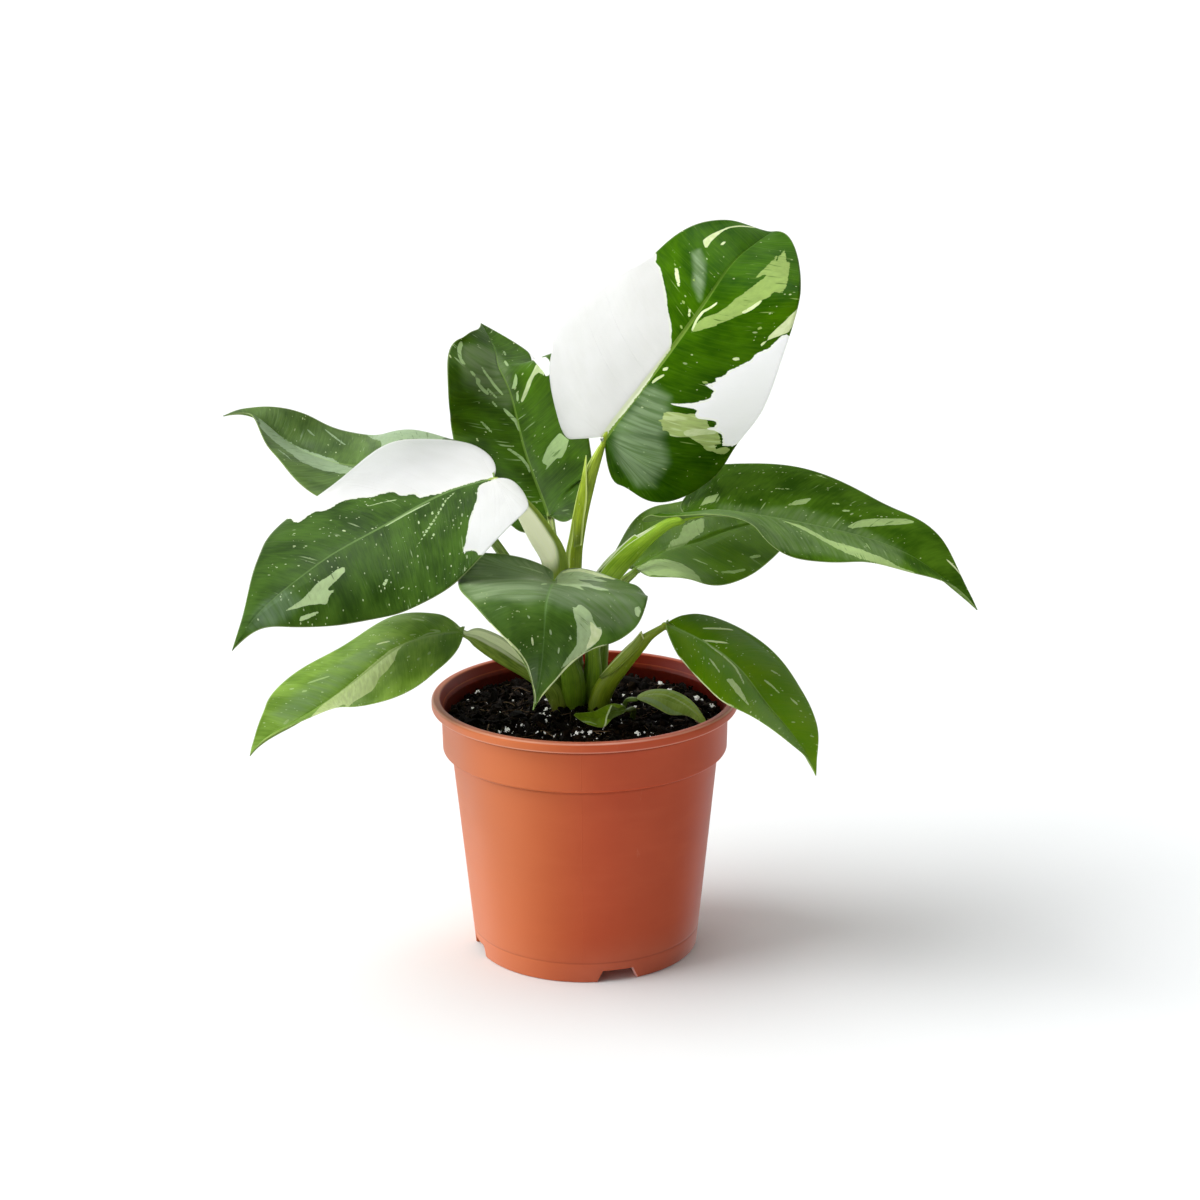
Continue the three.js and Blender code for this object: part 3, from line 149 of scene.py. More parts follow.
    "L11": {"name": "small_left", "kb": -0.00000, "rib": 1.0,
           "mid": [[15.95, -16.84, 101.85], [12.16, -17.57, 101.31], [8.43, -18.73, 100.95], [5.59, -19.83, 98.73], [2.33, -20.22, 99.86], [-1.13, -20.9, 100.39], [-4.03, -22.2, 101.7]],
           "lat": [[-0.3993, 0.8768, 0.2679], [-0.3671, 0.8572, 0.3611], [-0.3143, 0.7801, 0.541], [-0.242, 0.692, 0.6801]],
           "fold": [[10.59, 7.39, 6.73, 8.33], [10.86, 8.75, 6.14, 8.01]],
           "curl": [[0, 0, 0, 0], [0, 0, 0, 0]],
           "P": [[0, 0], [-0.37, 0.83], [-0.23, 1.51], [0.14, 2.28], [0.86, 2.96], [1.98, 3.5], [3.13, 4.19], [4.46, 4.57], [6.07, 4.24], [7.9, 3.8], [9.89, 4.04], [12.04, 3.9], [14.17, 3.07], [16.2, 2.22], [18.21, 1.7], [19.79, 1.29], [20.87, 1.01], [21.49, 0]],
           "M": [[0, 0], [-0.15, 0.56], [0.06, 1.01], [0.47, 1.57], [1.16, 2.13], [2.23, 2.63], [3.62, 3.03], [5.41, 3.42], [7.44, 3.97], [9.37, 4.79], [10.85, 5.57], [12.19, 4.93], [14.16, 4.24], [16.26, 3.55], [18.16, 2.44], [19.7, 1.54], [20.77, 0.82], [21.49, 0]],
           "stalk": [[18.4, -3.5, 92, 1.2, 1], [19.01, -9, 99.4, 1, 0.9], [16.37, -15.71, 101.17, 0.8, 0.7]],
           },
}
# variegation, with painted sheen as kind G and painted shade as kind D, in each leaf's own flat millimetres: [kind,
# width of a stroke or 0 for a patch, [[along, across], ...]]
MARKS = {
    "L1": [
        ["W", 0, [[-1.9, 0.8], [5.6, 0.2], [10.8, 0.6], [17, 0.8], [23.3, 0.8], [29.8, 0.5], [36.5, -0.1], [43.5, -0.2], [46.4, -1.9], [50.8, -5.8], [55, -10.1], [59.3, -15], [64.4, -20.3], [69.7, -25.3], [72.7, -29.2], [77.6, -30.8], [82.5, -35.5], [80.5, -41.1], [62.3, -49.9], [48.1, -50.2], [34.2, -51.3], [20.6, -52.1], [-1.6, -48.7], [-11.1, -43.4], [-17.7, -32.7], [-24, -24], [-32, -18.1], [-14.7, -6.9], [-5.4, -1.2]]],
        ["W", 0, [[69.5, 34.2], [67.9, 32.8], [66, 32], [64.2, 31.7], [62.8, 30.9], [61.8, 29.4], [60.3, 28.3], [58.7, 27.6], [57.6, 28.2], [56.2, 27.2], [54.2, 25.9], [51.9, 24.3], [49.5, 22.8], [48.6, 23], [46.8, 22], [44.5, 20], [44.3, 21.1], [43, 20.6], [40.3, 18], [40.8, 20], [40.8, 20.9], [41.1, 22.6], [39.9, 22.5], [39.6, 23], [38.3, 22.8], [37.5, 23], [36.2, 22.1], [33.4, 19.5], [29.7, 15.2], [27.4, 12.3], [28.1, 14.6], [29.9, 18], [31.3, 20.7], [31.4, 22.1], [30, 22.2], [29.3, 23.8], [31.3, 27.6], [32.6, 30.5], [31, 31.8], [28.2, 29.1], [29.8, 32.9], [29.8, 36], [26.3, 39.2], [27.9, 42.9], [28, 44.1], [31.4, 45], [37.2, 46.4], [42.4, 46.7], [50.2, 43], [58.9, 40.2], [65.8, 38.1], [69.3, 36.5]]],
        ["Y", 0, [[22.5, 11.8], [23.4, 12.6], [24.9, 14.2], [26.2, 16.1], [27.8, 19.2], [29.9, 21.8], [29.3, 23.8], [31.2, 27.1], [29.2, 29.8], [30.8, 33], [29, 34.6], [28.1, 36.4], [26.7, 38.2], [24.9, 36], [23.7, 38.1], [26.7, 39.9], [26.7, 43.5], [24.6, 43.5], [22.9, 42.1], [22.2, 38.2], [21.1, 34.8], [21.2, 33.7], [22.3, 31.9], [22, 29.6], [21.8, 27.2], [21.6, 25.5], [18.7, 21.9], [17.8, 19.7], [18.7, 18.1], [17.5, 16.2], [17.9, 15.4], [19.2, 15.8], [19.2, 14.3], [20.5, 14.8], [19.6, 12.6], [21.4, 13.6], [22.4, 13.8], [22.2, 12.5]]],
        ["P", 0, [[52.8, 2.6], [55.4, 5.1], [58.9, 8.4], [61.8, 11], [64.9, 13.4], [67.5, 15.7], [70.3, 17.6], [72.6, 19.5], [74.9, 20.4], [76.2, 21.7], [78.3, 21.9], [78.9, 23.7], [78.9, 25.1], [81.2, 25.1], [86, 23.5], [97.6, 17.6], [96.5, 16.7], [104.7, 11.3], [100.3, 12.2], [93.4, 13.9], [97.8, 11.8], [91.2, 12.6], [87.1, 12.9], [84.1, 12.6], [80.4, 12.7], [83.1, 14.4], [84.6, 15.3], [82, 15.6], [79, 14.5], [76.1, 13.4], [73.4, 11.7], [70.1, 10], [67.4, 9.2], [64.1, 7.3], [60.9, 4.3], [58.1, 2.5]]],
        ["C", 0, [[88.8, -15.7], [90.7, -15.5], [93.7, -14.9], [96.7, -14], [100.5, -13.1], [103.9, -11.4], [98.1, -12.6], [93.1, -12.7], [89.8, -12.7], [85.2, -12], [87.2, -14.2]]],
        ["C", 0, [[22.3, 22.5], [24.4, 24.2], [27.8, 28.9], [29.8, 32.9], [29.3, 34.3], [24.9, 28.8], [22, 26.1], [21.1, 23.9]]],
        ["C", 0, [[77.9, 33.4], [76.4, 34], [72.8, 34.7], [70.5, 35.1], [69.2, 33.5], [67.3, 31.5], [64.3, 28.4], [66, 28.9], [69.1, 30], [71.9, 31.4], [74.2, 32.2], [76.2, 32.9]]],
        ["G", 0, [[25.5, 0.5], [29, 3.7], [28.6, 10.4], [23.6, 14.3], [14.9, 19], [8.2, 25.4], [-5, 26.7], [-9.6, 20.1], [-6.3, 10.2], [0.4, 3.5], [10.7, 1.7]]],
        ["G", 0, [[82.7, -16.6], [84.5, -14.2], [79.2, -8.3], [71.1, -4], [64.9, -2.2], [68.8, -8.1]]],
        ["C", 0.78, [[53.6, 2.5], [58, 1.5], [61.7, 1.7], [64.4, 3.6], [67.3, 4.9]]],
        ["C", 1.02, [[68, 15.7], [70.8, 18.1], [74.2, 20]]],
        ["C", 1.41, [[73.4, -19.1], [69.3, -16.2], [65.5, -12.8]]],
        ["C", 0.63, [[60.3, -3.7], [56.9, -1.7]]],
        ["C", 0.71, [[90.2, -8.5], [92.8, -8.4]]],
        ["P", 0.63, [[76.3, -21.1], [73.7, -19.7]]],
        ["P", 0.63, [[61.4, -7.9], [60.3, -6.6]]],
        ["P", 0.71, [[72.1, -9.7], [70.1, -8.5]]],
        ["P", 0.59, [[53.6, -3.1], [51.1, -0.7]]],
        ["C", 0.78, [[29.1, 2.1], [31.5, 2.6], [34.3, 3.9]]],
        ["C", 1.02, [[35.5, 2.4], [37.3, 3.5]]],
        ["C", 0.86, [[53.9, 21.9], [55.6, 23.9]]],
        ["C", 0.78, [[62.6, 27.9], [63.6, 28.9]]],
        ["P", 0.63, [[66, 24], [67.8, 25.3]]],
        ["P", 0.63, [[40.8, 17.2], [42.1, 19]]],
        ["C", 0.63, [[100.9, -12.8], [107.1, -9.8], [113.2, -5.9]]],
    ],
    "L2": [
        ["W", 0, [[77.8, 14.6], [75, 15.2], [59.5, 13.7], [57.6, 14.2], [55.8, 15], [54.3, 15.9], [52.8, 16.4], [52.6, 17.7], [53.5, 19.4], [55.5, 19.7], [56.9, 19.4], [59, 18.4], [59, 17], [80.3, 20.1], [81, 18.1]]],
        ["P", 0, [[32.1, 19.4], [28, 23.2], [24, 21], [21.2, 18.1], [21.9, 15.6], [18.3, 7.3], [19.9, 9.8], [22.3, 7.2], [27.6, 12.4], [29.6, 15], [31.9, 18.4]]],
        ["P", 0, [[74.4, -15.7], [71, -15.1], [67.7, -15.8], [66, -15.6], [64.8, -14.6], [63.8, -13.3], [64, -14.5], [64.9, -16.2], [66.4, -17.2], [68.4, -17.5], [71.5, -16.8]]],
        ["P", 0, [[58, 5.1], [56.2, 5.2], [53.9, 4.2], [53, 2.4], [53.5, 1.2], [55.6, 3.1]]],
        ["G", 0, [[71, -15.1], [75.3, -7.4], [73.1, 1.7], [58.4, 3.4], [49.1, 1], [45.2, -3.1], [51.6, -9], [58.4, -13], [62.3, -16.9], [65.5, -16.9]]],
        ["Y", 0, [[57.6, 14.2], [56.1, 12.4], [55.2, 11.2], [54.3, 9.9], [53.4, 8.6], [51.8, 7.2], [50.4, 5.8], [48.3, 4], [46.7, 2.8], [47.4, 4.6], [49.4, 6.9], [51.3, 8.8], [53.1, 10.6], [54.2, 12.1], [54.6, 14.1], [52.9, 16.1], [54.5, 16]]],
        ["P", 0.55, [[63.8, -13.3], [62.4, -11.7], [60.7, -9.8]]],
        ["P", 0.94, [[61, -11.4], [59, -10.1], [55.5, -8.5]]],
        ["P", 0.75, [[63.9, -7.6], [60.4, -5.5], [56.8, -4.5], [52.6, -3.1]]],
        ["P", 0.47, [[57.9, -7.9], [52.2, -5.8]]],
        ["P", 0.59, [[51.7, -8.1], [48.4, -6.9]]],
        ["P", 1.18, [[46.8, -4.4], [43.8, -2.6], [40.9, -0.7], [36.7, -0.1]]],
        ["P", 0.78, [[44.3, -15.2], [41.2, -13.4], [38.3, -11.6]]],
        ["P", 0.94, [[31.9, -7.7], [29.3, -5], [26.2, -2.4], [22.5, -1], [20, -1.1]]],
        ["P", 0.78, [[51.2, 3.2], [48.3, 2.3]]],
        ["P", 0.78, [[75.3, 3.8], [72.7, 3.8]]],
        ["P", 0.86, [[68.2, 3.2], [63.5, 3.7]]],
    ],
    "L3": [
        ["W", 0, [[67.9, 33.5], [67.9, 26], [64, 26.9], [61.3, 27.6], [59.2, 24.1], [53.3, 24.5], [50.1, 23], [43.5, 17.6], [38, 15], [35.9, 13], [35.9, 10.1], [30.1, 7.1], [29.4, 3.8], [22.2, 0.8], [18.1, 0.8], [14.1, 0.5], [5.8, 1], [-1.3, 1.2], [-5.3, 9.9], [-8.8, 21.5], [-5.9, 32.2], [2.1, 38.7], [10.9, 42.3], [21.4, 45.2], [30.3, 47.6], [41.5, 45.2], [52.2, 42.4], [61.4, 40.5], [68, 39.7]]],
        ["W", 0, [[-0.7, -0.2], [7.5, -2.6], [10.5, -8.2], [12.5, -12.4], [16, -17], [19.1, -21.1], [23.9, -28.1], [27.1, -31.2], [28.8, -33.2], [26, -32.9], [23.4, -35.6], [22.9, -39.4], [17.6, -43.7], [12, -41.1], [4.8, -38.7], [-2.9, -32.1], [-7.4, -19.4], [-9.1, -2.5], [-6.1, 2.3]]],
        ["P", 0, [[69.7, -7.6], [71.3, -9.3], [75.5, -9.9], [78.9, -10.3], [81.7, -10.7], [80.9, -11.9], [78.4, -13], [81.1, -12.8], [83, -13.3], [85.5, -15.2], [86.3, -13.9], [87.4, -13], [90.1, -11.1], [92.9, -9.7], [95.4, -8.6], [98.4, -6.9], [95.6, -7.2], [91, -7.6], [86.7, -7.1], [83.3, -6.4], [80.8, -6.4], [77.8, -6.8], [73.1, -6.7]]],
        ["P", 0, [[88.8, -15.3], [91, -15.5], [94.3, -14.7], [97.8, -13.3], [95.8, -12.4], [93, -13.3]]],
        ["G", 0, [[112.4, -1], [102.9, 1.6], [93, -0.2], [92.1, -7.7], [101.3, -9.2], [107.9, -7.1]]],
        ["P", 0.59, [[17.2, -2.1], [21.8, -4.3], [26.2, -8.2], [30.3, -11.1], [36.1, -14.3], [42.7, -17.7]]],
        ["P", 1.02, [[62.5, -23.4], [58.6, -21.9]]],
        ["P", 0.71, [[56.6, -28.4], [54.5, -28.4]]],
        ["P", 0.55, [[68.6, -27], [66, -27.6]]],
        ["P", 0.63, [[44, -0.5], [37.9, -0.5], [34.5, -0.7]]],
        ["P", 0.67, [[29.6, -7.9], [27.9, -6.1]]],
        ["P", 0.67, [[35, -18.2], [32.4, -16.1]]],
        ["P", 0.47, [[27.4, -1.3], [33.6, -0.8], [40.1, -0.5], [46.8, -0.7]]],
        ["P", 0.39, [[36, 8.1], [40.9, 11.3], [46.2, 13.6]]],
    ],
    "L4": [
        ["P", 0, [[77.8, -2.3], [67, 0.1], [55.4, 1.3], [41.7, 1.9], [30.2, -4.2], [29, -8.7], [36.2, -11.5], [48.3, -15.2], [61.5, -11.6], [73.7, -11.4]]],
        ["P", 0, [[43.4, 28], [27.7, 19.4], [24.1, 12.9], [17.7, 17.9], [2.5, 22.4], [0.9, 30.1], [16.4, 36.8], [40.6, 44.4], [42.2, 34.3]]],
        ["P", 0.63, [[61.4, 12], [56.8, 11.2]]],
        ["P", 0.71, [[56.4, 18.6], [50.5, 16.4], [44.3, 13.8]]],
        ["P", 0.63, [[60.4, -16.6], [49, -18.9]]],
    ],
    "L5": [
        ["P", 0, [[19.8, -1.1], [-5.4, -1.3], [-9.3, -2.7], [-11, -5.3], [-11.9, -9.8], [-10.9, -13.8], [-10, -17.7], [-7.6, -21.6], [-5.8, -23.9], [-6, -20.9], [-6.5, -17], [-6.2, -14.7], [-4.8, -17.8], [-2.3, -20.8], [-1.8, -17.8], [-3.2, -14], [-3, -9.4], [2.3, -13.8], [20.4, -17.7], [22.4, -21.8], [23.3, -18.1], [22.4, -12.3], [23.2, -9.5], [25.4, -14], [24.6, -10.1], [23.9, -6.9], [23.1, -3.8], [21.9, -2.1]]],
        ["P", 0, [[34.6, -9.7], [34.6, -11.2], [32.1, -12], [32.8, -14], [34.4, -16.6], [37.5, -18.4], [39.6, -20.8], [38.9, -22.2], [40.5, -23.4], [43, -24], [46.8, -24.3], [50.8, -23], [53.6, -20.5], [58.1, -15.8], [59.5, -12.8], [54, -15.7], [49.6, -16.8], [45.8, -14.6], [42.6, -13.3], [39.3, -11.6], [37, -10.4]]],
        ["C", 0, [[38.4, -17.4], [38.9, -19.3], [40.1, -21.4], [39.3, -22.4], [40.9, -23.6], [43.9, -24.3], [47.5, -23.9], [50.1, -22.3], [47.1, -21.2], [43.1, -19.8], [40.7, -18.2]]],
        ["P", 0, [[26.4, -32], [25.6, -33.3], [25, -34.3], [26.5, -34.8], [28.6, -34.7], [29, -33.6]]],
        ["G", 0, [[41.6, 22.4], [40.4, 17.4], [38.4, 7.9], [34.2, 0.6], [35.7, -5.3], [36.7, -11.1], [39.1, -21.9], [36.7, -29.5], [28.7, -34.3], [22.2, -35.5], [6.2, -32.7], [-7, -23.5], [-12.5, -13.6], [-9.2, -2.3], [-12.1, 5.9], [-9.5, 17.9], [2, 29.7], [22.5, 33], [37, 31.4], [42.5, 27]]],
        ["C", 1.02, [[50.4, 24.8], [55.1, 20.7], [59, 15.6], [63.6, 10.5], [70.3, 7.1], [75.3, -0.4]]],
        ["C", 1.33, [[43.3, -28.4], [49.6, -25.1], [56.8, -18.6], [63.5, -12.4], [71.5, -5.1], [75, -3.1]]],
        ["C", 1.57, [[-8.7, -3.5], [-10.2, -6.1], [-10.8, -9.9], [-9.7, -14.6], [-7.4, -19.3], [-5.8, -23.2]]],
        ["P", 0.94, [[-5, 13.6], [-5.5, 9.5], [-5.4, 4.3]]],
        ["P", 0.63, [[23.7, 25.3], [19.3, 22.8]]],
        ["P", 0.63, [[22.2, 8.9], [21, 6.7]]],
        ["P", 0.78, [[25.8, 3.7], [23.2, 1.9]]],
        ["C", 1.02, [[52.4, 6], [54.9, 5.8]]],
        ["P", 0.78, [[47.3, -2.6], [49.1, -3.3]]],
        ["P", 0.75, [[47.2, -11.8], [48.6, -12.9]]],
        ["P", 0.78, [[53, -8.3], [54.9, -8.5]]],
        ["P", 0.94, [[44.5, 7], [45.2, 6.6]]],
    ],
    "L6": [
        ["P", 0, [[37.9, -8.5], [41.5, -13.2], [47.6, -17], [45.6, -12.2]]],
        ["P", 0, [[62.3, -3.3], [66.7, -10], [74.1, -15.6], [80.2, -20.5], [84.3, -20.6], [79.7, -14.8], [72, -8.1], [63.6, -2.6]]],
        ["P", 0, [[36.3, 3.8], [45, 6.7], [55.9, 16.2], [66.4, 18.4], [76, 20.8], [87.5, 20.4], [95.5, 17.7], [85.3, 25.1], [72.3, 27.4], [61, 23.5], [47.5, 14.2]]],
        ["P", 0, [[5.6, -4.3], [7.2, -11.3], [14.3, -13.9], [12.2, -7.1]]],
        ["G", 0, [[7.1, 20.2], [14.2, -4.6], [29.2, -5.4], [43.7, -9], [63, -5.5], [85.9, -0.4], [87.3, 19.5], [73, 30.5], [56.9, 30.4], [43, 40.8], [33.6, 49.8], [19.2, 60.2], [14.7, 53.1], [10.3, 49.1]]],
        ["P", 0.78, [[58.5, -12.1], [62, -13.4]]],
        ["P", 0.78, [[34.7, -20.4], [39.5, -21]]],
        ["P", 0.78, [[54.7, -15.4], [57.5, -16.3]]],
        ["C", 0.78, [[99.7, -9.7], [107.9, -10]]],
        ["P", 0.78, [[46.9, -35.5], [51.2, -33.1]]],
        ["P", 0.63, [[15.8, 50.4], [16.7, 63.2], [17.7, 76.1], [36.8, 51.6]]],
    ],
    "L7": [
        ["P", 0, [[37.7, -9.9], [32.9, -3.7], [29.1, -3.1], [25.7, -1.5], [21.3, 0.1], [13.2, 0.6], [18.8, -4.5], [22.2, -5.1], [27.2, -10.3], [31.4, -10.9]]],
        ["P", 0, [[-0.4, 0.2], [6.5, 2.7], [9.6, 5.7], [14.8, 13.1], [15.9, 18.6], [16.3, 27.1], [6.9, 26.7], [0.3, 20.4]]],
        ["P", 1.18, [[26.9, 19.8], [30.7, 21.2], [35.6, 21.4]]],
        ["P", 1.18, [[41.6, 16.5], [46.8, 16.6]]],
        ["P", 0.63, [[20.5, 10.1], [24.4, 14.9]]],
    ],
    "L8": [
        ["P", 0, [[33.4, 13.6], [34.6, 10.2], [40.9, 10.4], [51.7, 13.3], [41.8, 14.2]]],
        ["C", 0.78, [[13, -7.1], [17.4, -12.3], [21.6, -17.9]]],
        ["C", 0.71, [[16.1, -0.9], [19.8, -3.5], [23.6, -7]]],
        ["P", 1.1, [[15.3, -0.8], [19.9, 0.9], [26.3, 1.5], [31.9, 2.2], [39.5, 6.4]]],
        ["P", 0.78, [[21.9, 9.7], [29.2, 13]]],
        ["P", 0.71, [[40, -13.1], [42.8, -15.6]]],
        ["P", 0.78, [[41.6, -6.5], [44.8, -8], [48.2, -8.8]]],
        ["P", 0.71, [[51.4, -11.8], [54.9, -12.2]]],
        ["C", 0.63, [[11.2, 18.5], [18.7, 22.5], [27.7, 24.1], [34.8, 24.4], [40.7, 23.9], [51.7, 19.6]]],
    ],
    "L9": [
        ["Y", 0, [[17.8, -0.3], [23.6, 0.1], [27.4, -2.6], [31.3, -7.5], [36.5, -9.9], [40.3, -11.1], [44, -14.7], [46.7, -16.6], [50.8, -17.3], [55.4, -18.8], [64.3, -25.4], [60.8, -18.8], [65.5, -19.9], [77.3, -23.3], [77.5, -12.6], [64.1, -3.7], [54.2, 0.2], [46, 0.8], [37.6, 1.1], [29.4, 1.3], [22.4, 0.3]]],
        ["G", 0, [[80.7, 9.5], [63.7, 12.9], [50.2, 15.1], [37, 13.6], [28, 8.6], [23.9, 3.4], [37.9, 3.3], [53.2, 1.8], [68.6, 0.3], [80.6, 1.4]]],
        ["C", 0.59, [[31.3, 9.3], [28.9, 7.4], [27.2, 5.6]]],
        ["P", 0.59, [[15.9, 14.1], [14.2, 12], [12.5, 9.9]]],
        ["P", 0.63, [[60.3, 13.3], [56.3, 11.8], [52.8, 10.2]]],
        ["P", 0.86, [[64.1, 11.2], [62.5, 10]]],
        ["P", 0.47, [[19.9, 3.1], [17.9, 2.3]]],
        ["P", 0.59, [[65.8, 15.7], [64.5, 14.7]]],
        ["P", 0.86, [[80.5, 2], [77.5, 2.8]]],
        ["P", 0.86, [[26.6, -10], [25.4, -9.8]]],
        ["P", 0.71, [[24, -14.1], [22.3, -13.3]]],
        ["P", 0.71, [[18.1, -13], [16.8, -11.8]]],
        ["P", 0.67, [[36.2, -12.9], [35.1, -12.3]]],
        ["P", 0.67, [[41.1, -19.9], [40.3, -19.5]]],
        ["P", 0.55, [[20.1, -19.6], [18.6, -18.5]]],
        ["P", 0.47, [[35, 8.3], [33.9, 7.4]]],
        ["P", 0.43, [[12.2, 2.7], [8.6, 1.4]]],
        ["P", 0.43, [[17.8, -0.1], [13.5, 1], [8.7, 1]]],
    ],
    "L10": [
        ["P", 0, [[1.5, -0.1], [6.4, 1.3], [12.3, 3], [17.1, 3.8], [21, 3.6], [18.8, 5.1], [15.2, 5.5], [10.4, 4.8], [5.5, 3.9]]],
        ["P", 0.55, [[1.9, 1.7], [6.4, 3.8], [10.9, 4.9], [15.2, 5.5], [18.8, 5.1], [21.1, 3.7]]],
        ["Y", 0.39, [[3, -0.9], [6.7, -1.9], [10.4, -2.4], [15.1, -2.1], [20.9, -0.8], [26.1, 0]]],
        ["P", 0.47, [[1.5, -2.7], [6, -4.5], [11, -5.1], [16.6, -4.4], [21.9, -2.6], [26.2, -1.5]]],
    ],
    "L11": [
        ["D", 0, [[4.5, 3.3], [9.2, -2.3], [7.8, -4.1], [3.8, -3.8], [-1.2, -2], [-3.7, 1.7], [-0.2, 2.1], [2.7, 1.5]]],
        ["C", 0.47, [[4.6, 3.6], [6.5, 0.8], [9.1, -2.4], [10.9, -5.4]]],
        ["P", 0.39, [[20.8, -1.6], [18.8, -2.5], [14.9, -2.6], [12.4, -3.6]]],
    ],
}

SWEEP = 0.42
VIEW = np.array([0.0, math.cos(0.28), -math.sin(0.28)])


# ------------------------------------------------------------------ curves
def bspl(C, t):
    C = np.asarray(C, float)
    one = C.ndim == 1
    if one:
        C = C[:, None]
    n = len(C)
    P = np.vstack([2 * C[0] - C[1], C, 2 * C[-1] - C[-2]])
    x = np.clip(np.asarray(t, float), 0, 1) * (n - 1)
    i = np.minimum(x.astype(int), n - 2)
    f = (x - i)[:, None]
    r = ((1 - f) ** 3 * P[i] + (3 * f**3 - 6 * f**2 + 4) * P[i + 1] + (-3 * f**3 + 3 * f**2 + 3 * f + 1) * P[i + 2] + f**3 * P[i + 3]) / 6
    return r[:, 0] if one else r


def through(C, t):
    C = np.asarray(C, float)
    n = len(C)
    P = np.vstack([2 * C[0] - C[1], C, 2 * C[-1] - C[-2]])
    x = np.clip(np.asarray(t, float), 0, 1) * (n - 1)
    i = np.minimum(x.astype(int), n - 2)
    f = (x - i)[:, None]
    a, b, c, d = P[i], P[i + 1], P[i + 2], P[i + 3]
    return 0.5 * (2 * b + (c - a) * f + (2 * a - 5 * b + 4 * c - d) * f**2 + (3 * b - a - 3 * c + d) * f**3)


def unit(v):
    return v / np.maximum(np.linalg.norm(v, axis=-1, keepdims=True), 1e-12)


def smooth(x, a, b):
    t = np.clip((np.asarray(x, float) - a) / (b - a), 0, 1)
    return t * t * (3 - 2 * t)


def value_noise(p, seed):
    """smooth noise in about -1..1 for points (n, k)"""
    p = np.asarray(p, float)
    i = np.floor(p).astype(np.int64)
    f = p - i
    f = f * f * (3 - 2 * f)
    k = p.shape[1]
    out = np.zeros(len(p))
    for corner in range(2**k):
        h = np.full(len(p), seed * 7919 + 13, np.int64)
        w = np.ones(len(p))
        for d in range(k):
            bit = (corner >> d) & 1
            h = (h * 1103515245 + (i[:, d] + bit) * 374761393 + 668265263) & 0x7FFFFFFF
            h = ((h ^ (h >> 13)) * 1274126177) & 0x7FFFFFFF
            w = w * (f[:, d] if bit else 1 - f[:, d])
        out += w * ((h % 65536) / 32767.5 - 1)
    return out


def make(name, verts, faces, mat, attrs=None, smooth_angle=None, flat=False):
    me = bpy.data.meshes.new(name)
    me.from_pydata((np.asarray(verts, float) * MM).tolist(), [], faces)
    me.validate(clean_customdata=False)
    for key, val in (attrs or {}).items():
        val = np.asarray(val, np.float32)
        if val.ndim == 2:
            me.attributes.new(key, "FLOAT_VECTOR", "POINT").data.foreach_set("vector", val.ravel())
        else:
            me.attributes.new(key, "FLOAT", "POINT").data.foreach_set("value", val)
    me.polygons.foreach_set("use_smooth", [not flat] * len(me.polygons))
    if smooth_angle is not None:
        me.set_sharp_from_angle(angle=math.radians(smooth_angle))
    me.update()
    o = bpy.data.objects.new(name, me)
    bpy.context.scene.collection.objects.link(o)
    if mat is not None:
        me.materials.append(mat)
    return o


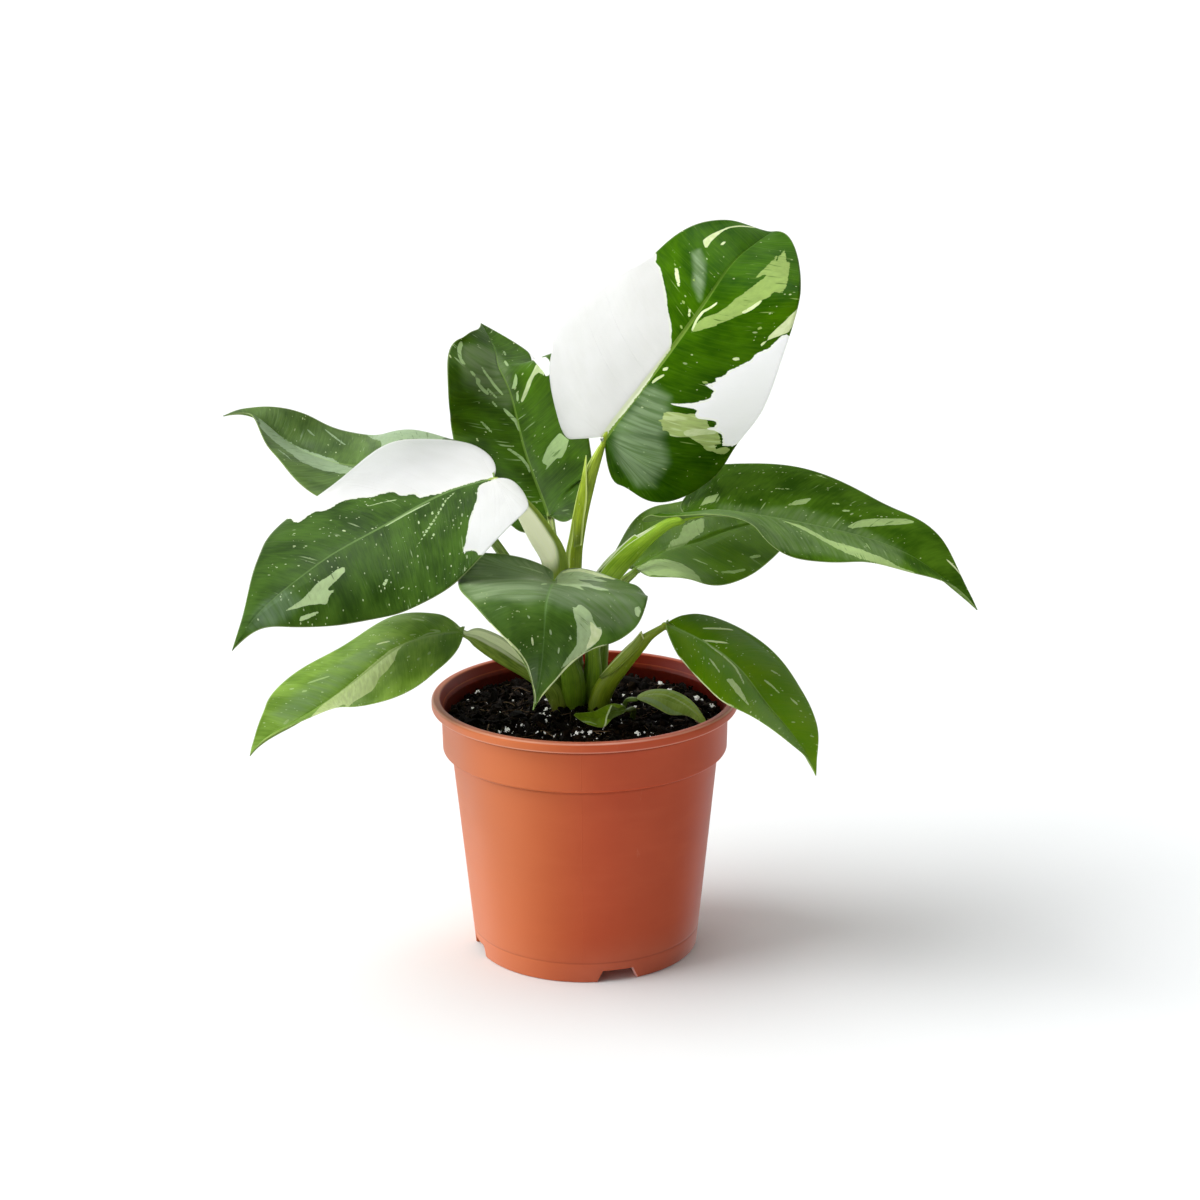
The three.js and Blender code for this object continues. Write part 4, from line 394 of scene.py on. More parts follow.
# ------------------------------------------------------------------ node graphs
class Graph:
    def __init__(self, name):
        self.mat = bpy.data.materials.new(name)
        self.mat.use_nodes = True
        if hasattr(self.mat, "cycles"):
            self.mat.cycles.emission_sampling = "NONE"      # the weak glow is only seen, it lights nothing
        self.t = self.mat.node_tree
        self.t.nodes.clear()
        self.out = self.t.nodes.new("ShaderNodeOutputMaterial")
        self.bsdf = self.t.nodes.new("ShaderNodeBsdfPrincipled")
        self.t.links.new(self.bsdf.outputs[0], self.out.inputs[0])

    def put(self, sock, val):
        if isinstance(val, bpy.types.NodeSocket):
            self.t.links.new(val, sock)
        elif val is not None:
            sock.default_value = val

    def math(self, op, a, b=None, c=None, clamp=False):
        n = self.t.nodes.new("ShaderNodeMath")
        n.operation = op
        n.use_clamp = clamp
        for i, v in enumerate((a, b, c)):
            self.put(n.inputs[i], v)
        return n.outputs[0]

    def add(self, a, b):
        return self.math("ADD", a, b)

    def mul(self, a, b):
        return self.math("MULTIPLY", a, b)

    def sub(self, a, b):
        return self.math("SUBTRACT", a, b)

    def vec(self, op, a, b=None):
        n = self.t.nodes.new("ShaderNodeVectorMath")
        n.operation = op
        self.put(n.inputs[0], a)
        if b is not None:
            self.put(n.inputs[1], b)
        return n.outputs[0]

    def step(self, x, lo, hi, to=(0.0, 1.0)):
        n = self.t.nodes.new("ShaderNodeMapRange")
        n.interpolation_type = "SMOOTHSTEP"
        self.put(n.inputs[0], x)
        self.put(n.inputs[1], lo)
        self.put(n.inputs[2], hi)
        n.inputs[3].default_value, n.inputs[4].default_value = to
        return n.outputs[0]

    def mix(self, fac, a, b, mode="MIX"):
        n = self.t.nodes.new("ShaderNodeMix")
        n.data_type = "RGBA"
        n.blend_type = mode
        n.clamp_factor = True
        self.put(n.inputs[0], fac)
        for s, v in ((n.inputs[6], a), (n.inputs[7], b)):
            self.put(s, (*v, 1.0) if isinstance(v, tuple) and len(v) == 3 else v)
        return n.outputs[2]

    def fmix(self, fac, a, b):
        n = self.t.nodes.new("ShaderNodeMix")
        n.data_type = "FLOAT"
        self.put(n.inputs[0], fac)
        self.put(n.inputs[2], a)
        self.put(n.inputs[3], b)
        return n.outputs[0]

    def attr(self, name, kind="Fac"):
        n = self.t.nodes.new("ShaderNodeAttribute")
        n.attribute_name = name
        return n.outputs[kind]

    def split(self, v):
        n = self.t.nodes.new("ShaderNodeSeparateXYZ")
        self.put(n.inputs[0], v)
        return n.outputs

    def join(self, x, y, z):
        n = self.t.nodes.new("ShaderNodeCombineXYZ")
        for i, v in enumerate((x, y, z)):
            self.put(n.inputs[i], v)
        return n.outputs[0]

    def noise(self, v, scale=1.0, detail=2.0, rough=0.5, distort=0.0, out="Fac"):
        n = self.t.nodes.new("ShaderNodeTexNoise")
        self.put(n.inputs["Vector"], v)
        n.inputs["Scale"].default_value = scale
        n.inputs["Detail"].default_value = detail
        n.inputs["Roughness"].default_value = rough
        n.inputs["Distortion"].default_value = distort
        return n.outputs[out]

    def voronoi(self, v, scale=1.0, feature="F1", rand=1.0):
        n = self.t.nodes.new("ShaderNodeTexVoronoi")
        n.feature = feature
        self.put(n.inputs["Vector"], v)
        n.inputs["Scale"].default_value = scale
        n.inputs["Randomness"].default_value = rand
        return n.outputs

    def obj(self):
        n = self.t.nodes.new("ShaderNodeTexCoord")
        return n.outputs["Object"]

    def bump(self, height, dist, strength=1.0, normal=None):
        n = self.t.nodes.new("ShaderNodeBump")
        n.inputs["Strength"].default_value = strength
        n.inputs["Distance"].default_value = dist
        self.put(n.inputs["Height"], height)
        if normal is not None:
            self.put(n.inputs["Normal"], normal)
        return n.outputs[0]

    def set(self, **kw):
        names = {"color": "Base Color", "rough": "Roughness", "normal": "Normal", "ior": "IOR", "coat": "Coat Weight", "coat_rough": "Coat Roughness",
                 "spec": "Specular IOR Level", "sheen": "Sheen Weight", "sss": "Subsurface Weight"}
        for k, v in kw.items():
            v = (*v, 1.0) if isinstance(v, tuple) and len(v) == 3 else v
            self.put(self.bsdf.inputs[names[k]], v)


def srgb(r, g, b):
    f = lambda c: c / 255 / 12.92 if c / 255 <= 0.04045 else ((c / 255 + 0.055) / 1.055) ** 2.4
    return (f(r), f(g), f(b))


# ------------------------------------------------------------------ leaf surface
class Surface:
    def __init__(self, d):
        self.d = d
        t = np.linspace(0, 1, 401)
        C = bspl(d["mid"], t)
        self.A = np.concatenate([[0], np.cumsum(np.linalg.norm(np.diff(C, axis=0), axis=1))])
        self.L = self.A[-1]
        self.C = C
        self.T = unit(np.gradient(C, axis=0))
        self.Bt = bspl(d["lat"], self.A / self.L)

    def at(self, a, tab):
        return np.stack([np.interp(a, self.A, tab[:, k]) for k in range(3)], -1)

    def point(self, a, b, side):
        d = self.d
        ac = np.clip(a, 0, self.L)
        T = unit(self.at(ac, self.T))
        B = self.at(ac, self.Bt)
        B = unit(B - (B * T).sum(1, keepdims=True) * T)
        N = np.cross(B, T)
        over = (a - ac)[:, None]
        j = 0 if side > 0 else 1
        th = np.radians(bspl(d["fold"][j], ac / self.L))
        k = np.radians(bspl(d["curl"][j], ac / self.L))
        k = np.where(np.abs(k) < 1e-6, 1e-6, k)
        X = (np.sin(th + k * b) - np.sin(th)) / k
        Z = (np.cos(th) - np.cos(th + k * b)) / k
        C = self.at(ac, self.C) + T * over + N * (0.5 * d["kb"] * np.minimum(over, 0) ** 2)
        return C + side * X[:, None] * B + Z[:, None] * N


def poly_distance(q, pts, closed):
    """distance from each point to a polyline, and the share of its length at the nearest point"""
    pts = np.asarray(pts, float)
    A = pts
    B = np.roll(pts, -1, axis=0) if closed else pts[1:]
    A = A if closed else A[:-1]
    d = B - A
    ln = np.maximum((d**2).sum(1), 1e-9)
    t = np.clip(((q[:, None, :] - A[None]) * d[None]).sum(2) / ln[None], 0, 1)
    near = A[None] + t[..., None] * d[None]
    dist = np.linalg.norm(q[:, None, :] - near, axis=2)
    k = dist.argmin(1)
    seg = np.sqrt(ln)
    start = np.concatenate([[0], np.cumsum(seg)[:-1]])
    share = (start[k] + t[np.arange(len(q)), k] * seg[k]) / seg.sum()
    return dist[np.arange(len(q)), k], share


def inside(q, pts):
    pts = np.asarray(pts, float)
    x, y = q[:, 0], q[:, 1]
    odd = np.zeros(len(q), bool)
    for (x0, y0), (x1, y1) in zip(pts, np.roll(pts, -1, axis=0)):
        cond = (y0 > y) != (y1 > y)
        with np.errstate(divide="ignore", invalid="ignore"):
            odd ^= cond & (x < (x1 - x0) * (y - y0) / (y1 - y0 if y1 != y0 else 1e-12) + x0)
    return odd


def mark_fields(flat2, marks):
    out = {k: np.full(len(flat2), -30.0) for k in "WPYCGD"}
    for kind, width, pts in marks:
        if width:
            dist, share = poly_distance(flat2, pts, False)
            taper = np.sqrt(np.clip(4 * share * (1 - share), 0, 1))
            sd = (0.5 * width * (0.35 + 0.65 * taper) + 0.15 - dist) * 3.2
        else:
            dist, _ = poly_distance(flat2, pts, True)
            sd = np.where(inside(flat2, pts), dist, -dist)
            sd = sd * np.clip(5 / max(sd.max(), 1), 1, 2.4)
        out[kind] = np.maximum(out[kind], sd)
    return {"sd" + k: np.clip(v, -30, 30) for k, v in out.items()}


def blade_grid(S, d, nu, nv, seed):
    """one sheet over both halves: positions, flat place, vein place, share across, distance to the edge, faces, edge vertices"""
    L = S.L
    u = np.linspace(0, 1, nu + 1)
    edges = {1: bspl(d["P"], u), -1: bspl(d["M"], u)}
    for e in edges.values():
        e[:, 1] = np.maximum(e[:, 1], 0)
    s = 0.5 * (edges[1][:, 0] + edges[-1][:, 0]) - SWEEP * 0.5 * (edges[1][:, 1] + edges[-1][:, 1])
    s = np.maximum.accumulate(np.clip(s, 0, L * 0.999))
    s[-1] = L
    v = np.linspace(0, 1, nv + 1) ** 1.35
    n1 = (nu + 1) * (nv + 1)
    pos, flat, vein, vv, edge = [], [], [], [], []
    ids = np.arange(2 * n1).reshape(2, nu + 1, nv + 1)
    first = np.array([np.argmax(s == x) for x in s])
    for k, side in enumerate((1, -1)):
        E = edges[side]
        cx = s + 0.3 * (E[:, 0] - s)
        a = (1 - v)[None] ** 2 * s[:, None] + 2 * (v * (1 - v))[None] * cx[:, None] + v[None] ** 2 * E[:, 0][:, None]
        b = v[None] * E[:, 1][:, None]
        a[0], b[0] = 0, 0
        a[-1], b[-1] = L, 0
        p = S.point(a.ravel(), b.ravel(), side)
        pos.append(p)
        flat.append(np.stack([a.ravel(), side * b.ravel(), np.repeat(s, nv + 1)], -1))
        g = p.reshape(nu + 1, nv + 1, 3)
        V = np.concatenate([np.zeros((nu + 1, 1)), np.cumsum(np.linalg.norm(np.diff(g, axis=1), axis=2), axis=1)], 1)
        m = np.stack([0.45 * E[:, 0] + 0.55 * s, 0.6 * E[:, 1]], -1)
        stepd = np.linalg.norm(np.diff(m, axis=0), axis=1)
        U = np.concatenate([[0], np.cumsum(stepd)]) * 0.85
        vein.append(np.stack([np.repeat(U, nv + 1), V.ravel(), np.full(n1, (5.0 if side > 0 else 55.0) + 9 * seed)], -1))
        vv.append(np.tile(v, nu + 1))
        dd, _ = poly_distance(np.stack([a.ravel(), b.ravel()], -1), E[::3], False)
        edge.append(dd)
        ids[k, 0, :] = 0
        ids[k, -1, :] = nu * (nv + 1)
        zero = first == 0
        zero[-1] = False
        ids[k, 1:-1, 0] = (first * (nv + 1))[1:-1]
        ids[k, zero, 0] = 0
    pos, flat, vein = np.vstack(pos), np.vstack(flat), np.vstack(vein)
    vv, edge = np.concatenate(vv), np.concatenate(edge)
    used, inv = np.unique(ids.ravel(), return_inverse=True)
    ids = inv.reshape(ids.shape)
    pos, flat, vein, vv, edge = pos[used], flat[used], vein[used], vv[used], edge[used]
    quads = []
    for k, side in enumerate((1, -1)):
        q = np.stack([ids[k, :-1, :-1], ids[k, :-1, 1:], ids[k, 1:, 1:], ids[k, 1:, :-1]], -1).reshape(-1, 4)
        quads.append(q if side > 0 else q[:, ::-1])
    faces = []
    for q in np.vstack(quads).tolist():
        f = [x for i, x in enumerate(q) if x != q[i - 1]]
        if len(set(f)) == len(f) and len(f) > 2:
            faces.append(f)
    tris = np.array([[f[0], f[i], f[i + 1]] for f in faces for i in range(1, len(f) - 1)])
    fn = np.cross(pos[tris[:, 1]] - pos[tris[:, 0]], pos[tris[:, 2]] - pos[tris[:, 0]])
    N = np.zeros_like(pos)
    for c in range(3):
        np.add.at(N, tris[:, c], fn)
    return pos, flat, vein, vv, edge, unit(N), faces, ids[:, :, -1]


def build_blade(key, d, mat, nu, nv, seed):
    S = Surface(d)
    L = S.L
    half = max(np.array(d["P"])[:, 1].max(), np.array(d["M"])[:, 1].max())
    size = min(1.0, half / 26)
    sheets = []
    for top_side, n_v in ((True, nv), (False, max(6, nv // 3))):
        pos, flat, vein, vv, edge, N, faces, rim = blade_grid(S, d, nu, n_v, seed)
        t = np.clip(flat[:, 0] / L, 0, 1)
        bb = np.abs(flat[:, 1])
        wm = (1.55 * (1 - t) ** 1.15 + 0.3) * size
        U, V = vein[:, 0], vein[:, 1]
        env = smooth(vv, 0.02, 0.2) * (1 - smooth(vv, 0.86, 1.0)) * (1 - smooth(t, 0.86, 0.98))
        rib = 0.5 + 0.5 * np.cos(2 * np.pi * (U / 6.4 + 0.6 * value_noise(np.stack([U / 13, U * 0 + seed], -1), 2) + 0.25 * value_noise(np.stack([U / 9, V / 14], -1), 12)))
        quilt = -0.07 * size * d.get("rib", 1.0) * rib**3 * env
        side_k = np.where(flat[:, 1] >= 0, 0.0, 40.0) + seed * 17.3
        wave = 0.42 * size * env * value_noise(np.stack([U / 17 + side_k, V / 20], -1), seed) + 0.2 * size * env * value_noise(np.stack([U / 7 + side_k, V / 9], -1), seed + 3)
        groove = -0.42 * size * d.get("rib", 1.0) * np.exp(-((bb / (0.62 * wm)) ** 2)) * (1 - smooth(t, 0.8, 1)) + 0.16 * size * d.get("rib", 1.0) ** 2 * np.exp(-(((bb - 1.6 * wm) / (0.8 * wm)) ** 2)) * (1 - smooth(t, 0.7, 0.95))
        ridge = 1.25 * wm * np.exp(-((bb / (0.75 * wm)) ** 2)) * (1 - smooth(t, 0.88, 1))
        hw = 0.25 + (0.13 - 0.25) * vv**2
        if top_side:
            p = pos + N * (hw + quilt + wave + groove)[:, None]
        else:
            p = pos - N * (hw - wave - 0.8 * quilt + ridge)[:, None]
        attrs = {"flat": flat, "vein": vein, "edge": edge, "under": np.full(len(pos), 0.0 if top_side else 1.0), "wm": wm, "tt": t, **mark_fields(flat[:, :2], MARKS.get(key, []))}
        sheets.append((p, faces, attrs, rim))
    (p0, f0, a0, r0), (p1, f1, a1, r1) = sheets
    n0 = len(p0)
    faces = f0 + [[n0 + x for x in f[::-1]] for f in f1]
    partner = {int(x): int(y) for x, y in zip(r0.ravel(), r1.ravel())}
    seen = {}
    for f in f0:
        for i, x in enumerate(f):
            y = f[(i + 1) % len(f)]
            if (y, x) in seen:
                del seen[(y, x)]
            else:
                seen[(x, y)] = 1
    for x, y in seen:
        if x in partner and y in partner:
            q = [y, x, n0 + partner[x], n0 + partner[y]]
            faces.append([z for i, z in enumerate(q) if z != q[i - 1]])
    attrs = {k: (np.vstack([a0[k], a1[k]]) if a0[k].ndim == 2 else np.concatenate([a0[k], a1[k]])) for k in a0}
    pts = np.vstack([p0, p1])
    for c in range(3):
        # the outermost tips stay within the frame's box
        hi, lo = CAD_HI[c] / MM - 0.03, CAD_LO[c] / MM + 0.03
        m = pts[:, c].max()
        if m > hi:
            q = pts[:, c] > hi - 12
            pts[q, c] = hi - 12 + (pts[q, c] - hi + 12) * 12 / (m - hi + 12)
        m = pts[:, c].min()
        if m < lo:
            q = pts[:, c] < lo + 12
            pts[q, c] = lo + 12 + (pts[q, c] - lo - 12) * 12 / (lo + 12 - m)
    return make("blade_" + d["name"], pts, faces, mat, attrs), S


# ------------------------------------------------------------------ leaf colour
def leaf_material(key, dark_s, mid_s, speck=0.5, streak=0.3, cream_edge=0.2, rough=0.34, seed=0.0, rib=(150, 178, 92), gloss=0.28, pale=(158, 184, 118), jag_p=0.6, jag_w=0.45, rib_w=1.0, rib_k=0.8, sss=0.2, lines=1.0, yellow=(188, 208, 130), sheen_grey=(118, 142, 104), sheen_k=0.5, white_shade_l=1.0, white_shade_r=1.0, fleck=(198, 214, 158), rib_fade=0.35, shade=(30, 44, 12), white_shade_tip=0.0, yfleck=0.45, glow_r=0.0, sheen_grey_p=None):
    g = Graph("leaf_" + key)
    dark, mid = srgb(*dark_s), srgb(*mid_s)
    flat, vein = g.attr("flat", "Vector"), g.attr("vein", "Vector")
    fx = g.split(flat)
    vx = g.split(vein)
    U, V, K = vx[0], vx[1], vx[2]
    under = g.attr("under")
    bb = g.math("ABSOLUTE", fx[1])
    wm = g.attr("wm")
    tt = g.attr("tt")
    off = g.add(K, seed)
    fine = g.join(g.mul(U, 1 / 0.85), g.mul(V, 1 / 7.0), off)          # long along the side veins
    n_fine = g.noise(fine, 1.0, 3.0, 0.55)
    wide = g.join(g.mul(U, 1 / 9.0), g.mul(V, 1 / 16.0), off)
    n_wide = g.noise(wide, 1.0, 2.0, 0.5)
    n_iso = g.noise(g.join(g.mul(U, 1 / 2.2), g.mul(V, 1 / 3.4), off), 1.0, 3.0, 0.6)
    # green ground
    tone = g.add(g.mul(n_wide, 0.75), g.mul(n_fine, 0.35))
    col = g.mix(g.step(tone, 0.34, 0.78), dark, mid)
    # darker between, lighter along the side veins
    saw = g.math("PINGPONG", g.add(g.mul(U, 1 / 5.6), g.mul(g.noise(g.join(g.mul(U, 1 / 14.0), 0.0, off), 1.0, 0.0), 0.9)), 0.5)        # 0 on a vein, 0.5 between two
    vein_line = g.step(saw, 0.055, 0.0)
    col = g.mix(g.mul(vein_line, g.mul(n_wide, 0.34 * lines)), col, srgb(*[c + 0.5 * (p - c) for c, p in zip(mid_s, (112, 150, 62))]))
    saw2 = g.math("PINGPONG", g.mul(U, 1 / 1.4), 0.5)
    col = g.mix(g.mul(g.step(saw2, 0.16, 0.0), 0.16 * lines), col, srgb(*[c + 0.3 * (p - c) for c, p in zip(mid_s, (120, 150, 70))]))
    # fine streaks
    st_n = g.noise(g.join(g.mul(U, 1 / 0.75), g.mul(V, 1 / 15.0), g.add(off, 31.7)), 1.0, 1.0, 0.4)
    st_gate = g.step(g.noise(g.join(g.mul(U, 1 / 10.0), g.mul(V, 1 / 12.0), g.add(off, 71.0)), 1.0, 1.0, 0.5), 0.50, 0.66)
    st = g.mul(g.step(st_n, 0.70 - 0.05 * streak, 0.74 - 0.05 * streak), st_gate)
    pale_c = g.mix(n_iso, srgb(*[c * 0.86 for c in pale]), srgb(*[min(255, c * 1.12) for c in pale]))
    col = g.mix(g.mul(st, min(1.0, 0.55 + 0.4 * streak)), col, pale_c)
    # flecks: short dashes along the side veins, in clusters
    gate = g.noise(g.join(g.mul(U, 1 / 9.0), g.mul(V, 1 / 11.0), g.add(off, 11.0)), 1.0, 2.0, 0.5)
    dense = g.step(gate, 0.43, 0.68)
    for cw, cl, r, share, add in ((1.4, 4.2, 0.21, 0.32, 3.1), (0.9, 1.7, 0.25, 0.30, 8.7), (2.3, 9.0, 0.13, 0.24, 15.3)):
        vo = g.voronoi(g.join(g.mul(U, 1 / cw), g.mul(V, 1 / cl), g.add(off, add)), 1.0)
        rnd = g.split(vo["Color"])
        limit = g.sub(1.0, g.mul(g.add(g.mul(dense, 0.92), 0.08), share * speck * 1.9))
        on = g.step(g.sub(rnd[0], limit), 0.0, 0.02)
        rr = g.mul(g.add(g.mul(g.mul(rnd[1], rnd[1]), 1.0), 0.38), r)
        dot = g.step(g.sub(rr, vo["Distance"]), 0.0, 0.06)
        m = g.mul(on, dot)
        col = g.mix(g.mul(m, g.add(g.mul(rnd[2], 0.55), 0.4)), col, srgb(*fleck))
    # painted sheen: a greyer, paler haze in the G marks, with the side veins showing through it; where a second, paler
    # colour is given, the leaf's right half takes it
    m_sheen = g.step(g.add(g.attr("sdG"), g.mul(g.sub(n_wide, 0.5), 5.0)), -2.6, 3.2)
    veil = g.step(g.noise(g.join(g.mul(U, 1 / 1.5), g.mul(V, 1 / 22.0), g.add(off, 23.0)), 1.0, 2.0, 0.5), 0.30, 0.66)
    col = g.mix(g.mul(g.mul(m_sheen, sheen_k), g.add(0.45, g.mul(veil, 0.55))), col, g.mix(g.step(fx[1], -6.0, 10.0), srgb(*sheen_grey), srgb(*sheen_grey_p)) if sheen_grey_p else srgb(*sheen_grey))
    # patches
    n_jag = g.noise(g.join(g.mul(U, 1 / 0.9), g.mul(V, 1 / 8.0), g.add(off, 90.0)), 1.0, 2.0, 0.55)
    n_jag2 = g.noise(g.join(g.mul(U, 1 / 2.6), g.mul(V, 1 / 16.0), g.add(off, 95.0)), 1.0, 2.0, 0.5)
    jag = g.add(g.mul(g.sub(n_jag, 0.5), 3.4), g.add(g.mul(g.sub(n_jag2, 0.5), 3.2), g.mul(g.sub(n_iso, 0.5), 0.8)))      # some millimetres, long along the veins
    def mask(kind, amp=1.0, soft=0.16):
        return g.step(g.add(g.attr("sd" + kind), g.mul(jag, amp)), -soft, soft)
    m_p = mask("P", jag_p)
    dark_in = g.step(g.noise(g.join(g.mul(U, 1 / 0.9), g.mul(V, 1 / 11.0), g.add(off, 44.0)), 1.0, 2.0, 0.5), 0.60, 0.70)
    col = g.mix(g.mul(m_p, g.sub(1.0, g.mul(dark_in, 0.65))), col, pale_c)
    col = g.mix(g.mul(mask("D", 0.12, 0.5), 0.75), col, srgb(*shade))
    m_y = mask("Y", jag_p, 0.12)
    yel = g.mix(g.step(n_fine, 0.3, 0.7), srgb(*[c * 0.9 for c in yellow]), srgb(*yellow))
    yel = g.mix(g.step(g.noise(g.join(g.mul(U, 1 / 1.3), g.mul(V, 1 / 12.0), g.add(off, 52.0)), 1.0, 1.0, 0.5), 0.55, 0.68), yel, srgb(*[min(255, c + yfleck * (w - c)) for c, w in zip(yellow, (226, 236, 196))]))
    ydark = g.step(g.noise(g.join(g.mul(U, 1 / 1.0), g.mul(V, 1 / 9.0), g.add(off, 51.0)), 1.0, 2.0, 0.5), 0.66, 0.72)
    col = g.mix(g.mul(m_y, g.sub(1.0, g.mul(ydark, 0.3))), col, yel)
    m_w = mask("W", jag_w, 0.12)
    white = g.mix(g.step(n_wide, 0.25, 0.8), srgb(248, 248, 244), srgb(254, 254, 251))
    # painted shade: each half's white is scaled on its own and the left half darkens toward the tip; the top leaf's
    # left half is set darker than its right
    right_half = g.step(fx[1], -0.6, 0.6)
    white_shade = g.fmix(right_half, g.mul(white_shade_l, g.sub(1.0, g.mul(g.step(tt, 0.3, 0.75), white_shade_tip))), white_shade_r)
    white = g.mix(1.0, white, g.join(white_shade, white_shade, white_shade), "MULTIPLY")
    fringe = g.step(g.attr("sdW"), 1.1, 0.3)
    white = g.mix(g.mul(fringe, 0.35), white, srgb(214, 230, 178))
    fleck = g.step(g.noise(g.join(g.mul(U, 1 / 0.7), g.mul(V, 1 / 5.0), g.add(off, 61.0)), 1.0, 1.0, 0.5), 0.74, 0.77)
    near = g.step(g.attr("sdW"), 3.0, 0.0)
    white = g.mix(g.mul(g.mul(fleck, near), 0.7), white, srgb(120, 150, 78))
    col = g.mix(m_w, col, white)
    m_c = mask("C", 0.18, 0.15)
    cream = g.mix(g.step(n_iso, 0.3, 0.8), srgb(204, 220, 160), srgb(228, 238, 196))
    col = g.mix(m_c, col, cream)
    # thin pale margin
    edge = g.attr("edge")
    margin = g.step(g.add(edge, g.mul(g.sub(n_wide, 0.5), 0.5)), 0.42, 0.16)
    col = g.mix(g.mul(margin, cream_edge), col, srgb(208, 220, 158))
    # midrib
    rib_m = g.step(g.sub(bb, g.mul(wm, 0.62 * rib_w)), 0.16, -0.12)
    rib_m = g.mul(g.mul(rib_m, g.step(tt, 1.0, 0.72)), g.sub(1.0, g.mul(g.step(tt, 0.35, 0.75), rib_fade)))
    inw = g.mul(m_w, 0.75)
    ribc = g.mix(inw, srgb(*rib), srgb(228, 232, 205))
    col = g.mix(g.mul(rib_m, rib_k), col, ribc)
    # under side: paler, duller
    dull = g.mix(0.34, col, srgb(148, 172, 108))
    col = g.mix(g.mul(under, g.sub(1.0, m_w)), col, dull)
    cells = g.voronoi(g.obj(), 2600.0)["Distance"]
    soft = g.noise(g.obj(), 90.0, 3.0, 0.6)
    # relief in millimetres
    h = g.mul(vein_line, -0.045)
    h = g.add(h, g.mul(g.step(saw2, 0.18, 0.0), -0.022))
    h = g.add(h, g.mul(n_fine, 0.05))
    h = g.add(h, g.mul(soft, 0.10))
    h = g.add(h, g.mul(cells, 0.012))
    nrm = g.bump(h, 0.001, 0.85)
    r = g.add(g.add(rough, g.mul(g.sub(soft, 0.5), 0.14)), g.mul(g.sub(n_fine, 0.5), 0.10))
    r = g.add(r, g.mul(m_w, 0.10))
    r = g.fmix(under, r, 0.55)
    g.set(color=col, rough=r, normal=nrm, spec=g.mul(gloss, g.sub(1.0, g.mul(m_w, 0.85))), sss=g.add(sss, g.mul(m_w, 0.95 - sss)))
    g.put(g.bsdf.inputs["Subsurface Radius"], g.mix(m_w, (1.0, 1.0, 0.45), (2.6, 2.6, 2.4)))
    g.bsdf.inputs["Subsurface Scale"].default_value = 0.0012
    if glow_r:
        # painted light: a weak glow on the white of the right half stands for light that comes through the thin white
        # half
        g.bsdf.inputs["Emission Color"].default_value = (1.0, 1.0, 0.97, 1.0)
        g.put(g.bsdf.inputs["Emission Strength"], g.mul(g.mul(m_w, right_half), glow_r))
    return g.mat


# ------------------------------------------------------------------ stalks
def frames(st, n):
    t = np.linspace(0, 1, n)
    p = through(st, t)
    e = 0.01
    T = unit(through(st, np.minimum(t + e, 1))[:, :3] - through(st, np.maximum(t - e, 0))[:, :3])
    W = unit(np.cross(T, VIEW))
    D = np.cross(T, W)
    return t, p, T, W, D


def sweep(st, sides, rings, groove, warp=0.0, seed=1, pale=None):
    """oval rod with a channel; groove: list of [t, depth, angle in degrees, half angle in degrees]; rounded ends"""
    t, p, T, W, D = frames(st, rings)
    gt = np.array(groove, float)
    dep, ang, wid = (np.interp(t, gt[:, 0], gt[:, k]) for k in (1, 2, 3))
    th = np.linspace(0, 2 * np.pi, sides, endpoint=False)
    delta = (th[None] - np.radians(ang)[:, None] + np.pi) % (2 * np.pi) - np.pi
    sg = np.radians(wid)[:, None]
    cut = np.exp(-((delta / sg) ** 4))
    lip = np.exp(-(((np.abs(delta) - sg * 1.12) / (0.22 * sg + 0.08)) ** 2))
    r = 1 - dep[:, None] * cut + 0.10 * lip * np.minimum(1, dep[:, None] * 2)
    length = np.concatenate([[0], np.cumsum(np.linalg.norm(np.diff(p[:, :3], axis=0), axis=1))])
    if warp:
        r = r * (1 + warp * value_noise(np.stack([np.repeat(length / 6, sides), np.tile(np.cos(th) * 1.5 + 9, rings), np.tile(np.sin(th) * 1.5 + 9, rings)], -1), seed).reshape(rings, sides))
    x = p[:, None, :3] + W[:, None] * (p[:, 3:4] * np.cos(th)[None] * r)[..., None] + D[:, None] * (p[:, 4:5] * np.sin(th)[None] * r)[..., None]
    pts = [x.reshape(-1, 3)]
    info = [np.stack([np.repeat(length, sides), np.tile(th * 3.0, rings), np.full(rings * sides, float(seed))], -1)]
    lining = np.minimum(1, dep * 1.6) if pale is None else np.interp(t, *zip(*pale))
    inner = [(cut * lining[:, None]).ravel()]
    rim = [(lip * np.minimum(1, dep[:, None] * 2)).ravel()]
    tt = [np.repeat(t, sides)]
    faces = []
    for i in range(rings - 1):
        for k in range(sides):
            a, b = i * sides + k, i * sides + (k + 1) % sides
            faces.append([a, b, b + sides, a + sides])
    n = rings * sides
    for end, i in ((0, 0), (1, rings - 1)):
        c = p[i, :3]
        out = (-T[i] if end == 0 else T[i]) * p[i, 3:5].mean()
        base = list(range(i * sides, (i + 1) * sides))
        for f, k in ((0.35, 0.9), (0.62, 0.68), (0.8, 0.38)):
            ring = c + (x[i] - c) * k + out * f * 0.8
            pts.append(ring)
            info.append(info[0][i * sides:(i + 1) * sides])
            inner.append(inner[0][i * sides:(i + 1) * sides])
            rim.append(rim[0][i * sides:(i + 1) * sides])
            tt.append(np.full(sides, float(end)))
            new = list(range(n, n + sides))
            for q in range(sides):
                a, b, c2, d2 = base[q], base[(q + 1) % sides], new[(q + 1) % sides], new[q]
                faces.append([a, d2, c2, b] if end == 0 else [a, b, c2, d2])
            base, n = new, n + sides
        faces.append(base[::-1] if end == 0 else base)
    return np.vstack(pts), faces, {"info": np.vstack(info), "inner": np.concatenate(inner), "rim": np.concatenate(rim), "tt": np.concatenate(tt)}


